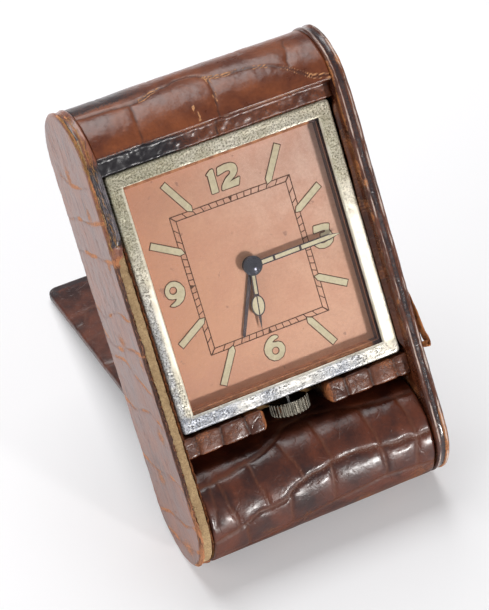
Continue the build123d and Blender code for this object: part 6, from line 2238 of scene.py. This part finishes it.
    def grown(self, shape: list[Point], by: float) -> list[Point]:
        """A convex outline moved outwards.

        Args:
            shape: Corners of the outline.
            by: How far it moves.

        Returns:
            The new outline.
        """
        points = np.array(shape)
        middle = points.mean(axis=0)
        result = []
        for number, point in enumerate(points):
            before = points[number - 1]
            after = points[(number + 1) % len(points)]
            one = (point - before) / np.linalg.norm(point - before)
            two = (after - point) / np.linalg.norm(after - point)
            n1, n2 = np.array([one[1], -one[0]]), np.array([two[1], -two[0]])
            if np.dot(n1, point - middle) < 0 and np.dot(n2, point - middle) < 0:
                n1, n2 = -n1, -n2
            bisect = (n1 + n2) / np.linalg.norm(n1 + n2)
            result.append(tuple(point + bisect * by / max(0.5, float(np.dot(bisect, n1)))))
        return result

    def build(self) -> list[bpy.types.Object]:
        """Make the numbers, the marks with their outlines, and the track.

        Returns:
            The objects.
        """
        base = self.sizes.dial_front + 0.005
        fills, outlines = [], []
        for number, (shape, holes) in enumerate(self.numerals()):
            loops = [self.softened(loop) for loop in (shape, *holes)]
            fills.append(self.forge.slab(f"number_{number}", loops[0], base, base + self.fill_height,
                                         self.finishes.lume, loops[1:]))
            for index, loop in enumerate(loops):
                outlines.append(self.ribbon(loop, 2 * self.outline, base, base + self.line_height,
                                            self.finishes.outline, f"number_edge_{number}_{index}", True))
        numbers = self.forge.join("dial_numbers", fills)
        edges = self.forge.join("dial_number_outlines", outlines)
        marks, mark_edges = [], []
        for number, shape in enumerate(self.batons()):
            marks.append(self.forge.slab(f"mark_{number}", shape, base, base + self.fill_height,
                                         self.finishes.lume))
            mark_edges.append(self.forge.slab(f"mark_edge_{number}", self.grown(shape, self.outline), base,
                                              base + self.line_height, self.finishes.outline))
        batons = self.forge.join("hour_marks_painted", marks)
        baton_edges = self.forge.join("hour_mark_outlines", mark_edges)
        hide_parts("hour_batons")
        track = self.track(base)
        for item in (numbers, edges, batons, baton_edges, track):
            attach(item, "case")
        return [numbers, edges, batons, baton_edges, track]

    def track(self, base: float) -> bpy.types.Object:
        """Make the square minute track: two lines with cross ticks between them.

        Args:
            base: Depth of the paint's underside.

        Returns:
            The object.
        """
        parts = []
        half = self.track_half
        inner = (half[0] - self.track_width, half[1] - self.track_width)
        for number, (hx, hy) in enumerate((half, inner)):
            corners = [(hx, hy), (-hx, hy), (-hx, -hy), (hx, -hy)]
            parts.append(self.ribbon(corners, self.line_width, base, base + self.line_height,
                                     self.finishes.outline, f"track_{number}", True))
        for minute in range(60):
            angle = math.radians(6.0 * minute + 0.01)
            way = np.array([math.sin(angle), math.cos(angle)])
            reach = [min(h[0] / max(abs(way[0]), 1e-6), h[1] / max(abs(way[1]), 1e-6)) for h in (inner, half)]
            line = [tuple(way * reach[0]), tuple(way * reach[1])]
            parts.append(self.ribbon(line, self.line_width, base, base + self.line_height,
                                     self.finishes.outline, f"tick_{minute}"))
        wedge = 0.55
        for turn in range(4):
            reach = (inner[turn % 2 == 0], half[turn % 2 == 0])
            angle = math.radians(90.0 * turn)
            shape = [(-wedge, reach[1]), (0.0, reach[0]), (wedge, reach[1])]
            turned = [(x * math.cos(angle) + y * math.sin(angle), y * math.cos(angle) - x * math.sin(angle))
                      for x, y in shape]
            parts.append(self.forge.slab(f"quarter_{turn}", turned, base, base + self.line_height,
                                         self.finishes.outline))
        for sx in (1, -1):
            for sy in (1, -1):
                line = [(inner[0] * sx, inner[1] * sy), (half[0] * sx, half[1] * sy)]
                parts.append(self.ribbon(line, self.line_width, base, base + self.line_height,
                                         self.finishes.outline, f"mitre_{sx}_{sy}"))
        return self.forge.join("minute_track", parts)


@dataclass
class HandPaint:
    """Luminous paint in the open-work hands."""

    forge: Forge
    finishes: Finishes
    case: CaseFrame
    minute_angle: float = 90.0
    hour_angle: float = 187.5
    minute_reach: float = 23.5
    minute_half: float = 0.45
    hour_half: float = 0.35
    ring_reach: float = 9.8
    ring_half: Point = (1.45, 2.25)
    alarm_angle: float = 203.0
    alarm_reach: float = 17.4
    alarm_half: float = 0.46

    def turned(self, shape: Sequence[Point], angle: float) -> list[Point]:
        """A shape drawn towards twelve, turned clockwise."""
        turn = math.radians(angle)
        return [(x * math.cos(turn) + y * math.sin(turn), -x * math.sin(turn) + y * math.cos(turn))
                for x, y in shape]

    def fill(self, name: str, shape: Sequence[Point], angle: float, node: str,
             proud: float = -0.02) -> bpy.types.Object:
        """Make one field of paint in a hand, as proud of its front as is said."""
        low, high = self.case.extent(node)
        return self.forge.slab(name, self.turned(shape, angle), float(low[2]) + 0.02, float(high[2]) + proud,
                               self.finishes.lume)

    def build(self) -> list[bpy.types.Object]:
        """Make the paint of the minute and hour hands.

        Returns:
            The objects.
        """
        h = self.minute_half
        shapes = [[(-h, a), (h, a), (h, b), (-h, b)] for a, b in ((2.5, 5.4), (6.0, 12.4))]
        shapes.append([(-h, 13.0), (h, 13.0), (h, 20.4), (0.05, self.minute_reach - 0.3),
                       (-0.05, self.minute_reach - 0.3), (-h, 20.4)])
        fields = [self.fill(f"minute_fill_{n}", shape, self.minute_angle, "minute_hand",
                            0.02 if n == 2 else -0.02) for n, shape in enumerate(shapes)]
        minute = self.forge.join("minute_hand_lume", fields)
        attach(minute, "minute_hand")
        wide, long = self.ring_half
        ring = [(wide * math.cos(a), self.ring_reach + long * math.sin(a))
                for a in np.linspace(0.0, 2.0 * math.pi, 32, endpoint=False)]
        shank = self.hour_half
        fields = [self.fill("hour_ring", ring, self.hour_angle, "hour_hand"),
                  self.fill("hour_shank", [(-shank, 2.5), (shank, 2.5), (shank, 6.95), (-shank, 6.95)],
                            self.hour_angle, "hour_hand")]
        hour = self.forge.join("hour_hand_lume", fields)
        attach(hour, "hour_hand")
        return [minute, hour, self.alarm_blade()]

    def alarm_blade(self) -> bpy.types.Object:
        """Make the straight dark blade on the alarm hand.

        Returns:
            The object.
        """
        low, high = self.case.extent("alarm_hand")
        half, end = self.alarm_half, self.alarm_reach
        shape = [(-half, 2.6), (half, 2.6), (0.8 * half, end - 0.6), (0.0, end), (-0.8 * half, end - 0.6)]
        blade = self.forge.slab("alarm_hand_blade", self.turned(shape, self.alarm_angle),
                                float(low[2]) - 0.01, float(high[2]) + 0.03,
                                self.finishes.by_slot[Slot.HAND_STEEL])
        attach(blade, "alarm_hand")
        return blade


# Studio


@dataclass
class Studio:
    """Floor, lamps, sky and the camera of the photograph's view."""

    case: CaseFrame
    sizes: CaseSizes
    width_px: float = 489.0
    height_px: float = 610.0
    focal_px: float = 2500.0
    azimuth: float = 26.5
    elevation: float = 49.75
    distance_mm: float = 588.2
    right_mm: float = -2.74
    up_mm: float = -9.0
    fill: float = 0.13
    floor_glow: float = 0.28

    def camera(self) -> None:
        """Create the camera of the photograph's view."""
        a, e = math.radians(self.azimuth), math.radians(self.elevation)
        ahead = Vector((math.sin(a) * math.cos(e), math.cos(a) * math.cos(e), -math.sin(e)))
        right = Vector((math.cos(a), -math.sin(a), 0.0))
        up = right.cross(ahead)
        middle = Vector(self.case.place(np.array([0.0, 0.0, self.sizes.bezel_front])))
        place = middle + (right * self.right_mm + up * self.up_mm - ahead * self.distance_mm) * MM
        data = bpy.data.cameras.new("photo_view")
        data.sensor_fit = "VERTICAL"
        data.sensor_height = 36.0
        data.lens = self.focal_px * data.sensor_height / self.height_px
        data.clip_start, data.clip_end = 0.02, 20.0
        item = bpy.data.objects.new("photo_view", data)
        item.matrix_world = Matrix(((right.x, up.x, -ahead.x, place.x), (right.y, up.y, -ahead.y, place.y),
                                    (right.z, up.z, -ahead.z, place.z), (0.0, 0.0, 0.0, 1.0)))
        bpy.context.collection.objects.link(item)
        bpy.context.scene.camera = item

    def lamp(self, name: str, place: Sequence[float], size: float, power: float,
             colour: Sequence[float] = (1.0, 1.0, 1.0)) -> None:
        """Hang one square lamp that looks at the clock.

        Args:
            name: Name of the lamp.
            place: Where it hangs, in metres.
            size: Side of the square, in metres.
            power: Its power in watts.
            colour: Colour of its light.
        """
        data = bpy.data.lights.new(name, "AREA")
        data.size, data.energy, data.color = size, power, colour
        item = bpy.data.objects.new(name, data)
        item.location = place
        target = Vector((0.0, 0.0, 0.05))
        item.rotation_euler = (target - Vector(place)).to_track_quat("-Z", "Y").to_euler()
        bpy.context.collection.objects.link(item)

    def sky(self) -> None:
        """White surroundings for the camera, a bright front for gloss and a quieter fill."""
        world = bpy.data.worlds.new("pale_studio")
        bpy.context.scene.world = world
        world.use_nodes = True
        nodes, links = world.node_tree.nodes, world.node_tree.links
        seen, fill = nodes["Background"], nodes.new("ShaderNodeBackground")
        gloss = nodes.new("ShaderNodeBackground")
        seen.inputs["Color"].default_value = (1.0, 1.0, 1.0, 1.0)
        seen.inputs["Strength"].default_value = 1.0
        fill.inputs["Color"].default_value = (1.0, 0.99, 0.98, 1.0)
        fill.inputs["Strength"].default_value = self.fill
        where, split = nodes.new("ShaderNodeTexCoord"), nodes.new("ShaderNodeSeparateXYZ")
        front = nodes.new("ShaderNodeMapRange")
        front.interpolation_type = "SMOOTHSTEP"
        for name, value in (("From Min", 0.25), ("From Max", -0.75), ("To Min", 0.4), ("To Max", 0.72)):
            front.inputs[name].default_value = value
        links.new(where.outputs["Generated"], split.inputs[0])
        links.new(split.outputs["Y"], front.inputs["Value"])
        links.new(front.outputs["Result"], gloss.inputs["Strength"])
        path = nodes.new("ShaderNodeLightPath")
        most = nodes.new("ShaderNodeMath")
        most.operation = "MAXIMUM"
        links.new(path.outputs["Is Camera Ray"], most.inputs[0])
        links.new(path.outputs["Is Transmission Ray"], most.inputs[1])
        shine, mix = nodes.new("ShaderNodeMixShader"), nodes.new("ShaderNodeMixShader")
        links.new(path.outputs["Is Glossy Ray"], shine.inputs[0])
        links.new(fill.outputs[0], shine.inputs[1])
        links.new(gloss.outputs[0], shine.inputs[2])
        links.new(most.outputs[0], mix.inputs[0])
        links.new(shine.outputs[0], mix.inputs[1])
        links.new(seen.outputs[0], mix.inputs[2])
        links.new(mix.outputs[0], nodes["World Output"].inputs["Surface"])

    def floor(self) -> bpy.types.Object:
        """Lay a white floor that keeps the clock's shadow.

        Returns:
            The object.
        """
        s = Shader("white_floor")
        s.set(Base_Color=(0.95, 0.95, 0.965, 1.0), Roughness=0.7, Specular_IOR_Level=0.1)
        glow, mix = s.add("Emission"), s.add("MixShader")
        glow.inputs["Color"].default_value = (0.99, 0.985, 1.0, 1.0)
        glow.inputs["Strength"].default_value = 1.0
        path = s.add("LightPath")
        seen = s.sum("MAXIMUM", path.outputs["Is Camera Ray"], path.outputs["Is Transmission Ray"])
        away = s.add("VectorMath", operation="LENGTH")
        s.feed(away.inputs[0], s.place())
        glowing = s.span(away.outputs["Value"], 0.25, 1.0, self.floor_glow, 1.0)
        s.feed(mix.inputs[0], s.sum("MULTIPLY", seen, glowing))
        s.feed(mix.inputs[1], s.body.outputs[0])
        s.feed(mix.inputs[2], glow.outputs[0])
        s.feed(s.output.inputs["Surface"], mix.outputs[0])
        mesh = bpy.data.meshes.new("white_floor")
        reach = 4.0
        mesh.from_pydata([(-reach, -reach, 0), (reach, -reach, 0), (reach, reach, 0), (-reach, reach, 0)],
                         [], [(0, 1, 2, 3)])
        mesh.materials.append(s.material)
        item = bpy.data.objects.new("white_floor", mesh)
        item.location.z = -0.0001
        bpy.context.collection.objects.link(item)
        return item

    def build(self) -> None:
        """Set up the whole studio."""
        self.camera()
        self.sky()
        self.floor()
        self.lamp("overhead", (0.0, 0.5, 0.88), 0.75, 10.0)
        self.lamp("left_window", (-0.85, -0.05, 0.45), 0.6, 2.7)
        self.lamp("low_front", (0.42, -1.07, 0.15), 0.1, 9.2, (1.0, 0.98, 0.96))
        bpy.context.scene.view_settings.view_transform = "Standard"


# Putting it together


def dress_nodes(frame: dict, finishes: Finishes) -> int:
    """Give every CAD node the finish of its material slot.

    Args:
        finishes: The materials.

    Returns:
        How many nodes were dressed.
    """
    slots = {slot.value: slot for slot in Slot}
    for node in frame["nodes"].values():
        names = [material.name.split(".")[0] for material in node.data.materials]
        slot = slots.get(names[0], Slot.STEEL) if names else Slot.STEEL
        node.data.materials.clear()
        node.data.materials.append(finishes.by_slot[slot])
    frame["nodes"]["hub_cap"].data.materials[0] = finishes.cap
    return len(frame["nodes"])


def golden_fibres(sizes: CaseSizes, forge: Forge, finishes: Finishes) -> bpy.types.Object:
    """Pale fibres along the split in the upper left rim.

    Args:
        sizes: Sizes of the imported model.
        forge: Maker of the meshes.
        finishes: The materials.

    Returns:
        The object.
    """
    pick = np.random.default_rng(33)
    roots, ways, lengths = [], [], []
    for _ in range(420):
        run = float(pick.uniform(16.0, sizes.flange_top + 1.25 * sizes.flange_radius))
        turn = max(0.0, run - sizes.flange_top) / sizes.flange_radius
        middle = np.array([min(run, sizes.flange_top), 0.0])
        out = np.array([math.sin(turn), math.cos(turn)])
        on_arris = pick.random() < 0.6
        x = -(sizes.outer_x - (0.5 if on_arris else 2.1)) + float(pick.normal(0.0, 0.14))
        root = middle + out * (sizes.flange_radius - (0.12 if on_arris else 0.42))
        along = np.array([math.cos(turn), -math.sin(turn)]) * (1.0 if pick.random() < 0.5 else -1.0)
        way = along + out * float(abs(pick.normal(0.1, 0.16)))
        roots.append((x, *root))
        ways.append(np.array([float(pick.normal(0.0, 0.22)), *way]))
        lengths.append(float(pick.uniform(0.6, 2.4)))
    return Fray(forge, finishes.fibre, 0.075, 9).build("golden_fibres", np.array(roots), np.array(ways),
                                                       np.array(lengths))


def peeled_flap(sizes: CaseSizes, forge: Forge, finishes: Finishes) -> bpy.types.Object:
    """Strip of leather that has lifted off the outside of the right rim and curls at its end.

    Args:
        sizes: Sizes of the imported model.
        forge: Maker of the meshes.
        finishes: The materials.

    Returns:
        The object.
    """
    x, z = sizes.outer_x, sizes.flange_radius
    line = [(x - 0.2, -16.6, z - 1.7), (x + 0.0, -20.0, z - 1.3), (x + 0.25, -24.0, z - 1.0),
            (x + 0.5, -28.0, z - 0.7), (x + 0.85, -30.0, z - 0.5), (x + 1.1, -31.4, z - 0.3),
            (x + 0.75, -32.3, z - 0.1), (x + 0.2, -31.9, z - 0.1), (x + 0.3, -31.1, z - 0.1),
            (x + 0.7, -31.3, z - 0.1)]
    middle = evened(np.array(line), 0.2, 0.4)
    share = np.linspace(0.0, 1.0, len(middle))
    uneven = rough_noise(np.stack([share * 9, share], axis=-1), 0.7, 91)
    half = 0.3 + 0.55 * ramp(share, 0.0, 0.5) + 0.08 * uneven
    across = np.linspace(-1.0, 1.0, 7)
    lean = np.array([0.5, 0.1, 0.86])
    points = middle[:, None, :] + half[:, None, None] * across[None, :, None] * lean
    item = forge.shell("right_rim_flap", points, 0.32, finishes.flap)
    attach(item, "case")
    return item


def torn_fibres(sizes: CaseSizes, forge: Forge, finishes: Finishes) -> bpy.types.Object:
    """Fibres along the torn left rim.

    Args:
        sizes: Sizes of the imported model.
        forge: Maker of the meshes.
        finishes: The materials.

    Returns:
        The object.
    """
    pick = np.random.default_rng(21)
    roots, ways, lengths = [], [], []
    for _ in range(260):
        y = float(pick.uniform(sizes.flange_bottom, 33.0))
        inner = pick.random() < 0.5
        if inner and y > 15.0:
            continue
        x = -sizes.inner_x - 0.1 if inner else -sizes.board_outer_x - 0.15
        roots.append((x + float(pick.normal(0.0, 0.08)), y, sizes.flange_radius - 0.25))
        ways.append(np.array([float(pick.normal(0.0, 0.5)), float(pick.normal(0.0, 1.6)),
                              float(abs(pick.normal(0.3, 0.25)))]))
        lengths.append(float(pick.uniform(0.4, 1.5)))
    return Fray(forge, finishes.torn).build("torn_fibres", np.array(roots), np.array(ways), np.array(lengths))


def main() -> None:
    """Build the clock's looks piece by piece."""
    logging.basicConfig(level=logging.INFO, format="%(name)s: %(message)s")
    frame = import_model()
    case = CaseFrame(frame)
    sizes = CaseSizes.read(case, frame["joints"])
    finishes = Finishes(case)
    forge = Forge(case)
    log.info("dressed %d nodes", dress_nodes(frame, finishes))
    pieces: list[bpy.types.Object] = []
    pieces.append(TopRoll(sizes, forge, finishes).build())
    pieces += [Flange(sizes, forge, finishes, side).build() for side in (1, -1)]
    worn = WornBoard(sizes, forge, finishes)
    pieces += [worn.board(), worn.lining(), torn_fibres(sizes, forge, finishes),
               golden_fibres(sizes, forge, finishes), peeled_flap(sizes, forge, finishes)]
    pieces.append(Cover(sizes, forge, finishes, OPEN_ANGLE).build())
    pieces.append(RailLips(sizes, forge, finishes, OPEN_ANGLE).build())
    pieces.append(Bezel(sizes, forge, finishes).build())
    pieces += DialPaint(sizes, forge, finishes).build()
    pieces += HandPaint(forge, finishes, case).build()
    for piece in pieces:
        log.info("made %s with %d faces", piece.name, len(piece.data.polygons))
    Studio(case, sizes).build()


if __name__ == "__main__":
    main()
